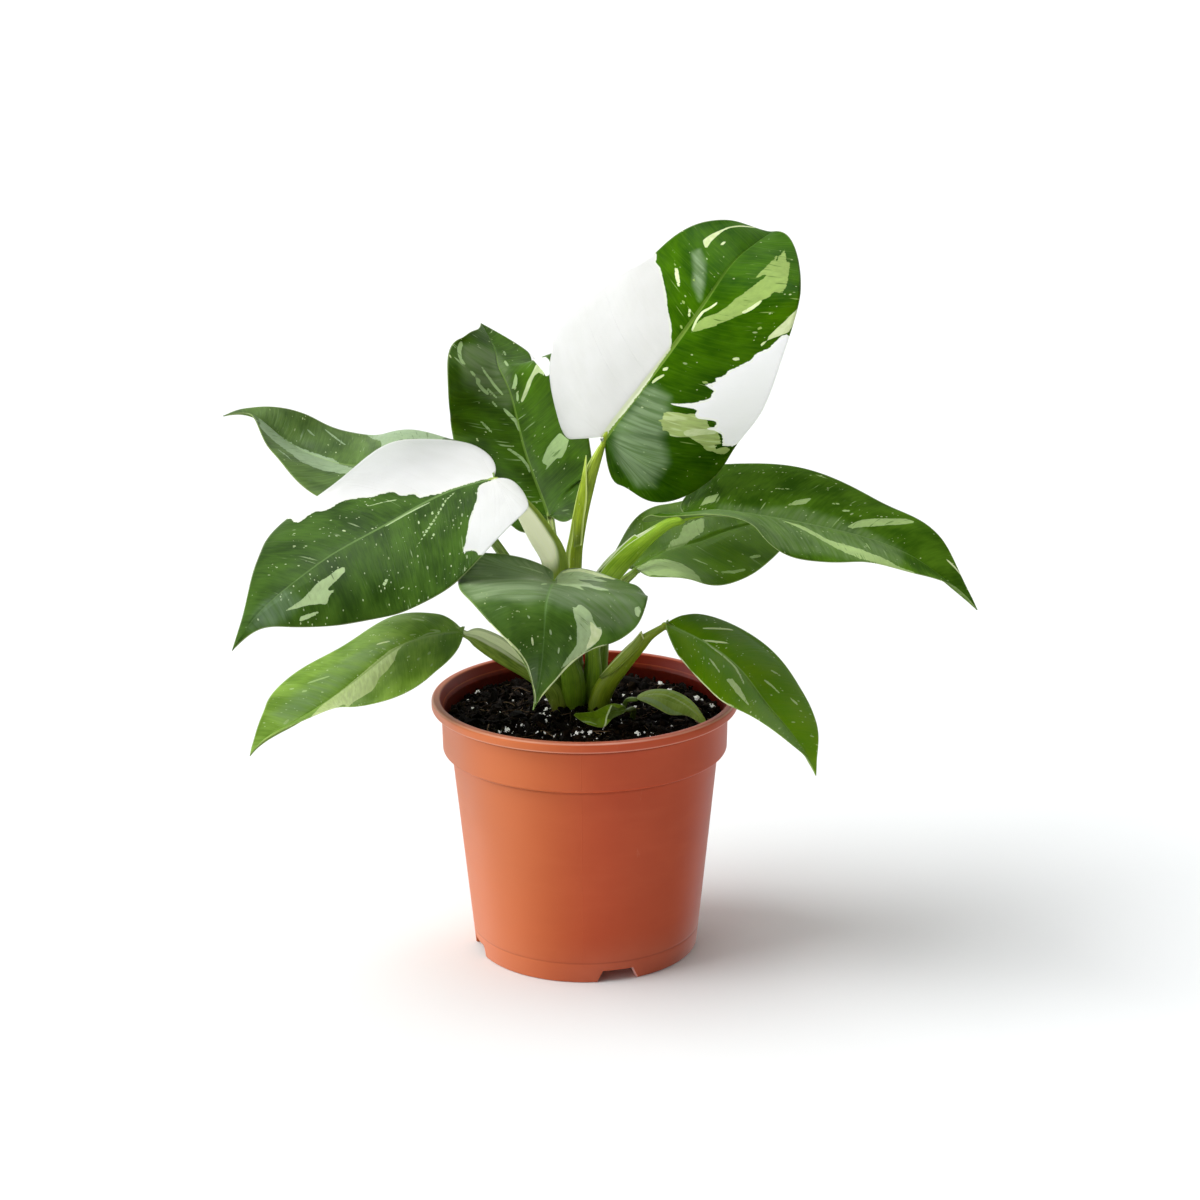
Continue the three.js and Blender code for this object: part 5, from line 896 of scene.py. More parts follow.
def strip(A, B, thick, bow, out, n=40, m=10, seed=1):
    """a thin sheath wing between two lines A and B (points through which they run), bowed toward out"""
    u = np.linspace(0, 1, n)
    a, b = through(A, u), through(B, u)
    v = np.linspace(0, 1, m)
    out = unit(np.asarray(out, float))
    mid = a[:, None] * (1 - v)[None, :, None] + b[:, None] * v[None, :, None]
    wdt = np.linalg.norm(b - a, axis=1)
    mid = mid + out * (bow * wdt[:, None] * (4 * v * (1 - v))[None])[..., None]
    du = np.gradient(mid, axis=0)
    dv = np.gradient(mid, axis=1)
    N = unit(np.cross(du, dv) + out * 1e-6)
    hw = thick / 2 * (0.35 + 0.65 * np.sqrt(np.clip(4 * v * (1 - v), 0, 1)))[None] * np.ones((n, 1))
    hw = hw * (0.3 + 0.7 * smooth(1 - u, 0, 0.1))[:, None]
    top, low = mid + N * hw[..., None], mid - N * hw[..., None]
    pts = np.vstack([top.reshape(-1, 3), low.reshape(-1, 3)])
    k = n * m
    faces = []
    for i in range(n - 1):
        for j in range(m - 1):
            q = [i * m + j, i * m + j + 1, (i + 1) * m + j + 1, (i + 1) * m + j]
            faces.append(q[::-1])
            faces.append([x + k for x in q])
    ring = [i * m for i in range(n)] + [(n - 1) * m + j for j in range(1, m)] + [i * m + m - 1 for i in range(n - 2, -1, -1)] + [j for j in range(m - 2, 0, -1)]
    for i, x in enumerate(ring):
        y = ring[(i + 1) % len(ring)]
        faces.append([x, y, y + k, x + k])
    ln = np.concatenate([[0], np.cumsum(np.linalg.norm(np.diff(mid[:, 0], axis=0), axis=1))])
    info = np.stack([np.repeat(ln, m), np.tile(v * 3, n), np.full(k, float(seed))], -1)
    rim = np.maximum(np.tile(smooth(v, 0.72, 0.92), n), np.repeat(smooth(u, 0.93, 0.99), m))
    return pts, faces, {"info": np.vstack([info, info]), "inner": np.zeros(2 * k), "rim": np.concatenate([rim, rim]), "tt": np.tile(np.repeat(u, m), 2)}


def merge(parts):
    V, F, A, n = [], [], {}, 0
    for v, f, a in parts:
        V.append(v)
        F += [[x + n for x in q] for q in f]
        n += len(v)
        for k, x in a.items():
            A.setdefault(k, []).append(x)
    return np.vstack(V), F, {k: (np.vstack(x) if x[0].ndim == 2 else np.concatenate(x)) for k, x in A.items()}


def stalk_material(name, dark, light, inner=(196, 200, 150), margin=(206, 222, 140), base=(64, 86, 8), rough=0.4, base_len=0.25, glow=0.0):
    g = Graph("stalk_" + name)
    info = g.split(g.attr("info", "Vector"))
    along, round_, sd = info[0], info[1], info[2]
    tt = g.attr("tt")
    fib = g.noise(g.join(g.mul(along, 1 / 22.0), g.mul(round_, 3.2), sd), 1.0, 3.0, 0.55)
    blot = g.noise(g.join(g.mul(along, 1 / 6.0), g.mul(round_, 0.6), g.add(sd, 7.0)), 1.0, 2.0, 0.5)
    col = g.mix(g.step(g.add(g.mul(fib, 0.7), g.mul(blot, 0.5)), 0.40, 0.80), srgb(*dark), srgb(*light))
    col = g.mix(g.mul(g.step(tt, base_len, 0.0), 0.75), col, srgb(*base))
    lines = g.step(g.math("PINGPONG", g.mul(round_, 1.7), 0.5), 0.12, 0.0)
    col = g.mix(g.mul(lines, 0.16), col, srgb(190, 205, 120))
    dots = g.voronoi(g.join(g.mul(along, 1 / 2.2), g.mul(round_, 1.6), sd), 1.0)
    dr = g.split(dots["Color"])
    col = g.mix(g.mul(g.mul(g.step(dr[0], 0.90, 0.92), g.step(dots["Distance"], 0.22, 0.14)), 0.5), col, srgb(205, 214, 150))
    col = g.mix(g.step(g.attr("inner"), 0.35, 0.75), col, g.mix(fib, srgb(*[c * 0.93 for c in inner]), srgb(*inner)))
    col = g.mix(g.mul(g.step(g.attr("rim"), 0.35, 0.8), 0.85), col, srgb(*margin))
    h = g.add(g.add(g.mul(fib, 0.14), g.mul(blot, 0.10)), g.mul(lines, 0.03))
    nrm = g.bump(h, 0.001, 0.7)
    r = g.add(rough, g.mul(g.sub(fib, 0.5), 0.2))
    g.set(color=col, rough=r, normal=nrm, spec=0.45)
    if glow:
        # painted light: a weak glow on the pale lining stands for light that comes through the thin pale sheath from
        # behind
        g.bsdf.inputs["Emission Color"].default_value = (*srgb(*inner)[:3], 1.0)
        g.put(g.bsdf.inputs["Emission Strength"], g.mul(g.step(g.attr("inner"), 0.35, 0.75), g.mul(g.add(0.75, g.mul(fib, 0.5)), glow)))
    return g.mat


# how each stalk's channel runs: [t, depth, angle, half angle]; angle 0 is the stalk's own left, 90 toward the front
# the sheath linings of the left large and left low leaves are a real pale cream, set paler still and given a weak glow
# as painted light
STALKS = {'L1': {'groove': [[0, 0.25, 40, 30], [0.3, 0.3, 30, 26], [0.6, 0.45, 20, 24], [0.85, 0.4, 20, 22], [1, 0.0, 30, 24]], 'colours': ((124, 148, 4), (176, 200, 44)), 'more': {'inner': (190, 206, 110), 'margin': (200, 216, 124)}},
          'L2': {'groove': [[0, 0.2, 90, 30], [0.6, 0.4, 80, 26], [1, 0.0, 80, 26]], 'colours': ((110, 138, 34), (160, 186, 84))},
          'L3': {'groove': [[0, 0.04, 60, 40], [0.25, 0.08, 60, 66], [0.4, 0.16, 58, 78], [0.8, 0.16, 58, 80], [0.9, 0.1, 60, 60], [1, 0.0, 60, 40]], 'colours': ((134, 160, 36), (166, 190, 66)), 'pale': [[0, 0], [0.25, 0.4], [0.36, 1.0], [0.84, 1.0], [0.88, 0.0], [1, 0]], 'more': {'inner': (236, 240, 200), 'margin': (206, 224, 120), 'glow': 0.42}},
          'L4': {'groove': [[0, 0.2, 90, 30], [0.6, 0.35, 80, 26], [1, 0.0, 80, 26]], 'colours': ((96, 124, 34), (140, 168, 74))},
          'L5': {'groove': [[0, 0.06, 152, 9], [0.4, 0.16, 152, 9], [1, 0.0, 152, 9]], 'colours': ((84, 120, 10), (120, 156, 30)), 'foot': [[-3.63, -1.2, 97.12, 3.2, 3.0], [-3.79, -1.8, 101.04, 4.2, 3.8], [-4.14, -2.4, 105.76, 4.7, 4.2], [-4.68, -3.4, 111.0, 4.5, 4.0], [-5.97, -5.2, 117.7, 3.7, 3.2], [-7.24, -7.6, 124.54, 2.8, 2.4]], 'skip': 2, 'more': {'margin': (176, 196, 110), 'base': (84, 112, 6)}},
          'L6': {'groove': [[0, 0.1, 20, 20], [0.25, 0.25, 20, 24], [0.6, 0.45, 18, 24], [0.68, 0.12, 20, 16], [1, 0.0, 20, 16]], 'colours': ((112, 154, 8), (152, 188, 40)), 'foot': [[2.23, 2.0, 94.78, 3.4, 3.2], [2.46, 2.2, 99.68, 3.9, 3.4], [2.88, 2.6, 105.75, 3.9, 3.4], [3.32, 2.8, 112.68, 3.4, 3.0], [3.17, 2.2, 120.25, 3.0, 2.6]], 'pale': [[0, 0], [0.3, 0.5], [0.62, 1.0], [0.68, 0.0], [1, 0]], 'more': {'inner': (214, 224, 180), 'margin': (228, 236, 204)},
          'skip': 1},
          'L7': {'groove': [[0, 0.2, 90, 30], [0.6, 0.35, 90, 26], [1, 0.0, 80, 26]], 'colours': ((96, 128, 24), (150, 180, 70)), 'foot': [[6.18, 5.5, 96.08, 3.0, 2.8], [6.01, 6.5, 102.4, 2.7, 2.5], [6.45, 8.0, 109.37, 2.5, 2.3], [7.08, 9.2, 118.07, 2.4, 2.1], [8.11, 9.8, 128.16, 2.2, 1.9]], 'skip': 2},
          'L8': {'groove': [[0, 0.0, 40, 16], [1, 0.0, 40, 16]], 'colours': ((110, 136, 10), (146, 166, 30)), 'foot': [[4.78, -2.4, 92.93, 4.1, 3.6], [5.4, -2.4, 99.12, 4.1, 3.4], [7.38, -3.2, 105.54, 4.0, 2.9], [10.52, -4.6, 111.3, 3.8, 2.5], [16.16, -7.0, 119.36, 3.4, 2.1], [21.36, -9.4, 125.94, 2.8, 1.8], [25.38, -11.0, 130.03, 1.8, 1.5]], 'pale': [[0, 0], [1, 0]], 'more': {'margin': (222, 230, 160)},
          'skip': 4},
          'L9': {'groove': [[0, 0.08, 150, 24], [0.3, 0.25, 145, 34], [0.55, 0.45, 140, 44], [0.88, 0.5, 138, 46], [0.94, 0.15, 140, 30], [1, 0.0, 140, 20]], 'colours': ((96, 124, 22), (150, 176, 66)), 'foot': [[-9.35, 0.6, 95.73, 3.4, 3.2], [-9.7, 0.4, 100.34, 4.5, 4.0], [-11.03, 0.2, 104.54, 4.9, 4.0], [-15.08, -0.8, 109.0, 4.4, 3.4]], 'pale': [[0, 0], [0.3, 0.3], [0.5, 1.0], [0.9, 1.0], [0.94, 0.0], [1, 0]], 'more': {'inner': (222, 232, 182), 'margin': (232, 240, 196), 'base': (104, 112, 14), 'glow': 0.16},
          'skip': 2},
          'L10': {'groove': [[0, 0.2, 90, 30], [1, 0.0, 90, 26]], 'colours': ((104, 140, 40), (150, 182, 80))},
          'L11': {'groove': [[0, 0.2, 90, 30], [1, 0.0, 90, 26]], 'colours': ((84, 116, 24), (120, 150, 50))}}
# sheath wings: two lines in millimetres, thickness, bow and the way it bows
WINGS = {'L1': [([[-4.13, 2.2, 161.54], [-3.67, 2.2, 170.71], [-2.44, 2.2, 180.62], [-0.85, 2.2, 188.51], [0.34, 2.2, 194.01], [1.13, 2.2, 198.32]], [[-0.63, 0.6, 163.14], [0.2, 0.6, 172.29], [1.41, 0.6, 180.99], [1.46, 0.6, 188.09], [1.3, 0.6, 193.59], [1.33, 0.6, 198.48]], 0.7, 0.0, (0, -1, 0))], 'L6': [([[8.57, -0.5, 150.58], [12.83, -1.6, 155.67], [17.07, -2.8, 161.16], [20.14, -3.6, 164.93], [21.28, -4.2, 167.66]], [[5.1, 1.0, 152.6], [9.37, 0.2, 157.2], [14.01, -0.8, 162.63], [17.48, -1.6, 166.01], [19.78, -2.4, 167.99]], 0.8, 0.06, (-0.3, -1, 0.5))], 'L8': [([[6.62, -6.2, 111.02], [11.48, -8.4, 114.55], [17.28, -10.2, 120.76], [21.14, -11.2, 125.29], [23.05, -11.8, 129.28]], [[5.65, -4.8, 111.19], [10.34, -6.6, 117.24], [15.38, -8.4, 123.45], [19.23, -9.8, 128.09], [22.11, -10.8, 132.0]], 0.8, 0.1, (-0.3, -1, 0.5))]}
LOOK = {'L1': {'dark': (33, 72, 1), 'mid': (66, 110, 3), 'more': {'speck': 0.42, 'streak': 0.4, 'rib': (118, 148, 58), 'jag_p': 0.35, 'jag_w': 0.3, 'rib_w': 1.25, 'gloss': 0.03, 'white_shade_l': 0.62, 'white_shade_r': 1.0, 'sheen_grey': (156, 180, 138), 'sheen_k': 0.75, 'rib_k': 0.85, 'rib_fade': 0.75, 'white_shade_tip': 0.2, 'glow_r': 0.09, 'pale': (150, 176, 96)}},
        'L2': {'dark': (41, 68, 8), 'mid': (70, 109, 15), 'more': {'speck': 0.55, 'streak': 0.6, 'rib': (120, 154, 64), 'rib_k': 0.7, 'jag_p': 0.15, 'jag_w': 0.2, 'gloss': 0.08, 'pale': (152, 178, 122), 'sheen_grey': (116, 132, 96), 'sheen_k': 0.6, 'rib_w': 0.7, 'yellow': (186, 204, 150)}},
        'L3': {'dark': (35, 60, 12), 'mid': (68, 101, 31), 'more': {'speck': 1.1, 'streak': 0.25, 'rib': (118, 150, 84), 'rib_k': 0.6, 'rib_w': 0.6, 'jag_w': 0.45, 'jag_p': 0.3, 'gloss': 0.08, 'lines': 0.12, 'pale': (170, 192, 142), 'sheen_grey': (140, 162, 138), 'sheen_k': 0.35, 'white_shade_l': 0.82, 'white_shade_r': 0.82, 'fleck': (196, 212, 168)}},
        'L4': {'dark': (52, 79, 25), 'mid': (93, 124, 54), 'more': {'speck': 0.6, 'streak': 0.4, 'rib': (150, 175, 110), 'rib_k': 0.3, 'gloss': 0.12, 'lines': 0.5, 'pale': (144, 168, 128)}},
        'L5': {'dark': (55, 88, 22), 'mid': (87, 123, 44), 'more': {'speck': 0.95, 'streak': 0.1, 'rib': (112, 148, 80), 'rib_k': 0.5, 'rib_w': 0.7, 'jag_p': 0.2, 'jag_w': 0.2, 'gloss': 0.1, 'lines': 0.2, 'pale': (168, 190, 142), 'sheen_grey': (104, 124, 86), 'sheen_k': 0.9, 'sheen_grey_p': (146, 168, 126)}},
        'L6': {'dark': (45, 79, 6), 'mid': (81, 119, 24), 'more': {'speck': 0.8, 'streak': 0.4, 'rib': (130, 160, 96), 'rib_k': 0.5, 'rib_w': 0.7, 'gloss': 0.004, 'lines': 0.1, 'sheen_grey': (122, 146, 98), 'sheen_k': 0.5}},
        'L7': {'dark': (71, 106, 18), 'mid': (96, 134, 28), 'more': {'speck': 0.9, 'streak': 0.1, 'rib': (104, 140, 50), 'rib_k': 0.4, 'gloss': 0.1, 'lines': 0.15}},
        'L8': {'dark': (83, 127, 3), 'mid': (101, 137, 7), 'more': {'speck': 1.1, 'streak': -1.2, 'rib': (136, 168, 92), 'rib_k': 0.75, 'rib_w': 0.6, 'gloss': 0.07, 'lines': 0.2, 'pale': (176, 196, 136)}},
        'L9': {'dark': (93, 130, 31), 'mid': (140, 175, 70), 'more': {'speck': 1.3, 'streak': 0.3, 'rib': (150, 180, 100), 'rib_k': 0.4, 'rib_w': 0.7, 'gloss': 0.12, 'lines': 0.15, 'yellow': (192, 212, 138), 'yfleck': 0.15, 'jag_p': 0.2, 'jag_w': 0.2}},
        'L10': {'dark': (120, 144, 54), 'mid': (176, 197, 100), 'more': {'speck': 0.0, 'streak': 0.2, 'rib': (150, 180, 100), 'pale': (150, 172, 112), 'jag_p': 0.15, 'jag_w': 0.2, 'gloss': 0.12, 'yellow': (176, 194, 124), 'rib_k': 0.25}},
        'L11': {'dark': (92, 122, 6), 'mid': (130, 162, 19), 'more': {'speck': 0.1, 'streak': 0.2, 'rib': (140, 170, 70), 'cream_edge': 0.1, 'shade': (44, 58, 14), 'gloss': 0.1, 'rib_k': 0.2}}}

surfaces, blades = {}, {}
for i, (key, d) in enumerate(LEAVES.items()):
    lk = LOOK[key]
    mat = leaf_material(d["name"], lk["dark"], lk["mid"], seed=float(i * 3), **lk.get("more", {}))
    small = key in ("L10", "L11")
    o, S = build_blade(key, d, mat, 70 if small else 200, 14 if small else 42, i + 1)
    surfaces[key] = S
    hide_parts("leaf_blade_" + d["name"])
    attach(o, "root")

for i, (key, d) in enumerate(LEAVES.items()):
    S = surfaces[key]
    st = [list(r) for r in d["stalk"]]
    cfg = STALKS[key]
    st = [list(r) for r in cfg["foot"]] + st[cfg.get("skip", 0):] if "foot" in cfg else st
    # runs on into the midrib, under the blade
    w0 = float(np.interp(0, [0, 1], [1.55, 0.3])) * min(1.0, max(np.array(d["P"])[:, 1].max(), np.array(d["M"])[:, 1].max()) / 26)
    a = np.array([0.0, 5.0, 13.0]) * (S.L / 110)
    c = S.point(a, a * 0, 1)
    T = unit(S.at(a, S.T))
    B = S.at(a, S.Bt)
    N = np.cross(unit(B - (B * T).sum(1, keepdims=True) * T), T)
    c = c - N * np.array([0.55, 0.8, 0.45])[:, None] * w0
    for k, r in ((0, 0.92), (1, 0.62), (2, 0.3)):
        st.append([*c[k], r * w0, r * w0])
    big = key not in ("L10", "L11")
    parts = [sweep(st, 44 if big else 24, 110 if big else 50, cfg["groove"], 0.02, i + 1, cfg.get("pale"))]
    for wing in WINGS.get(key, []):
        parts.append(strip(*wing, seed=i + 20))
    v, f, a = merge(parts)
    mat = stalk_material(d["name"], *cfg["colours"], **cfg.get("more", {}))
    o = make("stalk_" + d["name"], v, f, mat, a)
    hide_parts("leaf_stalk_" + d["name"])
    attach(o, "root")

# ------------------------------------------------------------------ stem
def lathe(profile, angles, centre=(0.0, 0.0), close=True):
    """profile: open loop of [r, z] whose first and last points are on the axis"""
    prof = np.asarray(profile, float)
    m, n = len(prof) - 2, len(angles)
    ca, sa = np.cos(angles), np.sin(angles)
    ring = prof[1:-1]
    pts = np.stack([ring[:, None, 0] * ca + centre[0], ring[:, None, 0] * sa + centre[1], np.repeat(ring[:, 1:2], n, 1)], -1).reshape(-1, 3)
    a, b = len(pts), len(pts) + 1
    pts = np.vstack([pts, [[*centre, prof[0, 1]], [*centre, prof[-1, 1]]]])
    faces = []
    for i in range(m - 1):
        for k in range(n):
            q = (k + 1) % n
            faces.append([i * n + k, i * n + q, (i + 1) * n + q, (i + 1) * n + k])
    for k in range(n):
        q = (k + 1) % n
        faces.append([a, q, k])
        faces.append([b, (m - 1) * n + k, (m - 1) * n + q])
    return pts, faces


def fillet(corners, arc=6):
    """corners: [r, z, fillet radius] -> polyline with rounded corners"""
    C = np.array([c[:2] for c in corners], float)
    out = [C[0]]
    for i in range(1, len(C) - 1):
        rad = corners[i][2]
        a, b = C[i - 1] - C[i], C[i + 1] - C[i]
        la, lb = np.linalg.norm(a), np.linalg.norm(b)
        a, b = a / la, b / lb
        half = 0.5 * math.acos(float(np.clip(a @ b, -1, 1)))
        if rad <= 0 or half > math.pi / 2 - 0.02:
            out.append(C[i])
            continue
        cut = min(rad / math.tan(half), 0.45 * la, 0.45 * lb)
        rr = cut * math.tan(half)
        mid = C[i] + unit(a + b) * (rr / math.sin(half))
        p0, p1 = C[i] + a * cut, C[i] + b * cut
        t0, t1 = math.atan2(*(p0 - mid)[::-1]), math.atan2(*(p1 - mid)[::-1])
        dt = (t1 - t0 + math.pi) % (2 * math.pi) - math.pi
        for k in range(arc + 1):
            t = t0 + dt * k / arc
            out.append(mid + rr * np.array([math.cos(t), math.sin(t)]))
    out.append(C[-1])
    return np.array(out)


def refine(poly, step):
    out = [poly[0]]
    for a, b in zip(poly[:-1], poly[1:]):
        n = max(1, int(math.ceil(np.linalg.norm(b - a) / step)))
        out += [a + (b - a) * k / n for k in range(1, n + 1)]
    return np.array(out)


zs = np.linspace(86, 123.4, 60)
rs = np.interp(zs, [86, 94, 100, 106, 112, 122, 123.4], [4.2, 5.0, 4.7, 4.1, 3.7, 3.0, 2.3])
for zr in (97.5, 103.0, 108.5, 114.0):
    rs = rs + 0.45 * np.exp(-(((zs - zr) / 0.7) ** 2))
prof = np.vstack([[0, 85.8], np.stack([rs, zs], -1), [0, 123.6]])
ang = np.linspace(0, 2 * np.pi, 40, endpoint=False)
v, f = lathe(prof, ang, (-4.2, 4.8))
w = value_noise(v / 2.6, 5)
c = np.array([-4.2, 4.8, 0])
v = v + (v - c) * np.array([1, 1, 0]) * (0.06 * w)[:, None]
nv_ = len(v)
info = np.stack([v[:, 2], np.arctan2(v[:, 1] - 4.8, v[:, 0] + 4.2) * 3, np.full(nv_, 3.0)], -1)
stem_mat = stalk_material("stem", (92, 112, 40), (140, 160, 70), base=(70, 72, 28), base_len=0.6, rough=0.5)
o = make("plant_stem", v, f, stem_mat, {"info": info, "inner": np.zeros(nv_), "rim": np.zeros(nv_), "tt": (v[:, 2] - 86) / 38})
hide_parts("stem")
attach(o, "root")

# ------------------------------------------------------------------ pot
R_FOOT, R_TOP, STEP = 44.3, 52.45, 82.2
corners = [(0, 5.0, 0), (R_FOOT - 3.4, 5.0, 0.5), (R_FOOT - 3.1, 0.0, 0.5), (R_FOOT, 0.0, 0.8), (52.4, 81.0, 1.2), (55.85, 82.15, 1.1), (56.2, 98.9, 0.5),
           (60.0, 99.0, 0.9), (60.0, 103.0, 1.5), (56.9, 103.0, 1.0), (54.9, 97.8, 1.5), (54.6, 83.5, 1.5), (51.1, 81.4, 1.5), (43.6, 7.4, 0.8), (42.6, 6.6, 0.3), (0, 6.6, 0)]
prof = refine(fillet(corners, 7), 4.0)
out_wall = np.zeros(len(prof), bool)
cum = np.concatenate([[0], np.cumsum(np.linalg.norm(np.diff(prof, axis=0), axis=1))])
extra = [np.array([R_FOOT + (52.45 - R_FOOT) * z / 81.2, z]) for z in (7.2, 7.6, 7.9, 8.2, 8.5, 8.9, 9.4)]
i0 = int(np.argmax((prof[:, 0] > 44.2) & (prof[:, 1] > 3.0)))
prof = np.vstack([prof[:i0], [p for p in prof[i0:i0 + 3] if p[1] < 7.0], extra, [p for p in prof[i0:i0 + 3] if p[1] >= 9.6], prof[i0 + 3:]]) if True else prof
on_body = (prof[:, 0] > 44.5) & (prof[:, 1] > 6.5) & (prof[:, 1] < 10) & (np.arange(len(prof)) < len(prof) // 2)
prof[on_body, 0] -= 0.16 * np.exp(-(((prof[on_body, 1] - 8.2) / 0.45) ** 2))
angles = list(np.linspace(0, 2 * np.pi, 256, endpoint=False))
notches = [math.radians(-90 + 16.4 + 90 * i) for i in range(4)]
ha, hb = math.asin(8.25 / 43.9), math.asin(6.0 / 43.9)
for c in notches:
    for h in (-ha, -hb, hb, ha):
        angles.append((c + h) % (2 * math.pi))
        angles.append((c + h * 0.985) % (2 * math.pi))
angles = np.array(sorted(angles))
angles = angles[np.concatenate([[True], np.diff(angles) > 1e-4])]
v, f = lathe(prof, angles)
phi = np.arctan2(v[:, 1], v[:, 0])
zn = np.zeros(len(v))
for c in notches:
    dlt = np.abs((phi - c + np.pi) % (2 * np.pi) - np.pi)
    zn = np.maximum(zn, 4.9 * np.clip((ha - dlt) / (ha - hb), 0, 1))
foot = (np.hypot(v[:, 0], v[:, 1]) > R_FOOT - 3.6) & (v[:, 1 + 1] < 5.2)
v[foot, 2] = np.maximum(v[foot, 2], zn[foot])

g = Graph("terracotta_plastic")
co = g.obj()
xyz = g.split(co)
ang_n = g.math("ARCTAN2", xyz[1], xyz[0])
soft = g.noise(co, 22.0, 3.0, 0.55)
flow = g.noise(g.join(g.mul(ang_n, 2.2), g.mul(xyz[2], 160.0), 0.0), 1.0, 3.0, 0.6)
grain = g.noise(co, 1500.0, 2.0, 0.6)
col = g.mix(g.step(soft, 0.3, 0.72), srgb(*(188, 76, 42)), srgb(*(196, 83, 47)))
col = g.mix(g.mul(g.step(flow, 0.42, 0.8), 0.22), col, srgb(*(206, 96, 58)))
scuff = g.step(g.noise(g.join(g.mul(ang_n, 9.0), g.mul(xyz[2], 60.0), 4.0), 1.0, 4.0, 0.7), 0.66, 0.78)
low = g.step(xyz[2], 0.022, 0.0)
col = g.mix(g.mul(scuff, 0.10), col, srgb(236, 196, 170))
col = g.mix(g.mul(g.mul(low, soft), 0.22), col, srgb(226, 178, 150))
rad = g.vec("MULTIPLY", co, (1.0, 1.0, 0.0))
n = g.t.nodes.new("ShaderNodeVectorMath")
n.operation = "LENGTH"
g.put(n.inputs[0], rad)
radius = n.outputs["Value"]
wall_top = g.mul(g.step(radius, 0.0573, 0.0567), g.mul(g.step(xyz[2], 0.0993, 0.0997), g.step(xyz[2], 0.1030, 0.1024)))
inner = g.math("MAXIMUM", wall_top, g.mul(g.step(radius, 0.0557, 0.0552), g.step(xyz[2], 0.084, 0.088)))
# painted light: the left side, toward the key light, is painted a lighter orange; the creases carry painted shade and
# the rim's edges painted highlights
lit_side = g.step(g.add(g.mul(xyz[0], -1.0), g.mul(xyz[1], -0.35)), 0.006, 0.052)
col = g.mix(g.mul(lit_side, 0.85), col, srgb(*(201, 112, 62)))
# painted shade: dark red under the lip, at the collar step and along the foot ring
crease_shade = g.mul(g.mul(g.step(xyz[2], 0.0968, 0.0980), g.step(xyz[2], 0.0992, 0.0990)), g.mul(g.step(radius, 0.0582, 0.0576), g.step(radius, 0.0557, 0.0560)))
crease_shade = g.math("MAXIMUM", crease_shade, g.mul(g.mul(g.step(xyz[2], 0.0796, 0.0808), g.step(xyz[2], 0.0822, 0.0812)), 0.6))
crease_shade = g.math("MAXIMUM", crease_shade, g.mul(g.step(g.math("ABSOLUTE", g.sub(xyz[2], 0.0082)), 0.0005, 0.0001), 0.35))
col = g.mix(g.mul(crease_shade, g.add(0.45, g.mul(soft, 0.3))), col, srgb(96, 30, 18))
# painted highlight: thin light lines on the lip's top and lower outer edges
rim_highlight = g.mul(g.step(radius, 0.0590, 0.0594), g.add(g.mul(g.step(xyz[2], 0.1021, 0.1026), 0.45), g.mul(g.step(xyz[2], 0.0999, 0.0995), 0.30)))
col = g.mix(g.mul(rim_highlight, g.add(0.4, g.mul(flow, 0.9))), col, srgb(250, 206, 186))
# painted reflection: the lip's flat top is a paler pink
rim_top_reflection = g.mul(g.mul(g.step(radius, 0.0570, 0.0574), g.step(radius, 0.0596, 0.0592)), g.step(xyz[2], 0.1025, 0.1029))
col = g.mix(g.mul(rim_top_reflection, 0.35), col, srgb(206, 128, 112))
# the inner wall is darker still below about 97 mm, towards the soil, with a ragged edge
inner_low_dark = g.mul(inner, g.step(g.add(xyz[2], g.mul(g.sub(g.noise(co, 240.0, 3.0, 0.6), 0.5), 0.006)), 0.1005, 0.0965))
# painted shade: the inside of the pot's wall and the lip's inner face are a darker red
col = g.mix(g.mul(inner, 0.85), col, srgb(136, 22, 10))
col = g.mix(g.mul(inner_low_dark, 0.6), col, srgb(46, 10, 6))
seam_a = g.math("ABSOLUTE", g.sub(ang_n, math.radians(-91.2)))
seam = g.step(seam_a, 0.0045, 0.0005)
h = g.add(g.mul(soft, 0.05), g.mul(grain, 0.010))
h = g.add(h, g.mul(flow, 0.012))
h = g.add(h, g.mul(seam, 0.05))
h = g.add(h, g.mul(scuff, -0.01))
r = g.add(0.4, g.mul(g.sub(flow, 0.5), 0.10))
r = g.add(r, g.mul(scuff, 0.06))
g.set(color=col, rough=r, normal=g.bump(h, 0.001, 0.6), spec=0.24)
pot = make("pot", v, f, g.mat)
cut_v, cut_f = [], []
for i in range(6):
    a = i / 6 * 2 * math.pi
    t = np.linspace(0, 2 * np.pi, 32, endpoint=False)
    ring = np.stack([26 * math.cos(a) + 4 * np.cos(t), 26 * math.sin(a) + 4 * np.sin(t)], -1)
    b = len(cut_v) * 64
    cut_v.append(np.vstack([np.column_stack([ring, np.full(32, 3.5)]), np.column_stack([ring, np.full(32, 8.0)])]))
    cut_f += [[b + k, b + (k + 1) % 32, b + 32 + (k + 1) % 32, b + 32 + k] for k in range(32)] + [[b + 31 - k for k in range(32)], [b + 32 + k for k in range(32)]]
cutter = make("cutter", np.vstack(cut_v), cut_f, None)
mod = pot.modifiers.new("holes", "BOOLEAN")
mod.operation = "DIFFERENCE"
mod.solver = "EXACT"
mod.object = cutter
dg = bpy.context.evaluated_depsgraph_get()
me = bpy.data.meshes.new_from_object(pot.evaluated_get(dg))
pot.modifiers.clear()
pot.data = me
me.name = "nursery_pot_mesh"
bpy.data.objects.remove(cutter)
me.polygons.foreach_set("use_smooth", [True] * len(me.polygons))
me.set_sharp_from_angle(angle=math.radians(38))
if not me.materials:
    me.materials.append(g.mat)
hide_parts("nursery_pot")
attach(pot, "root")


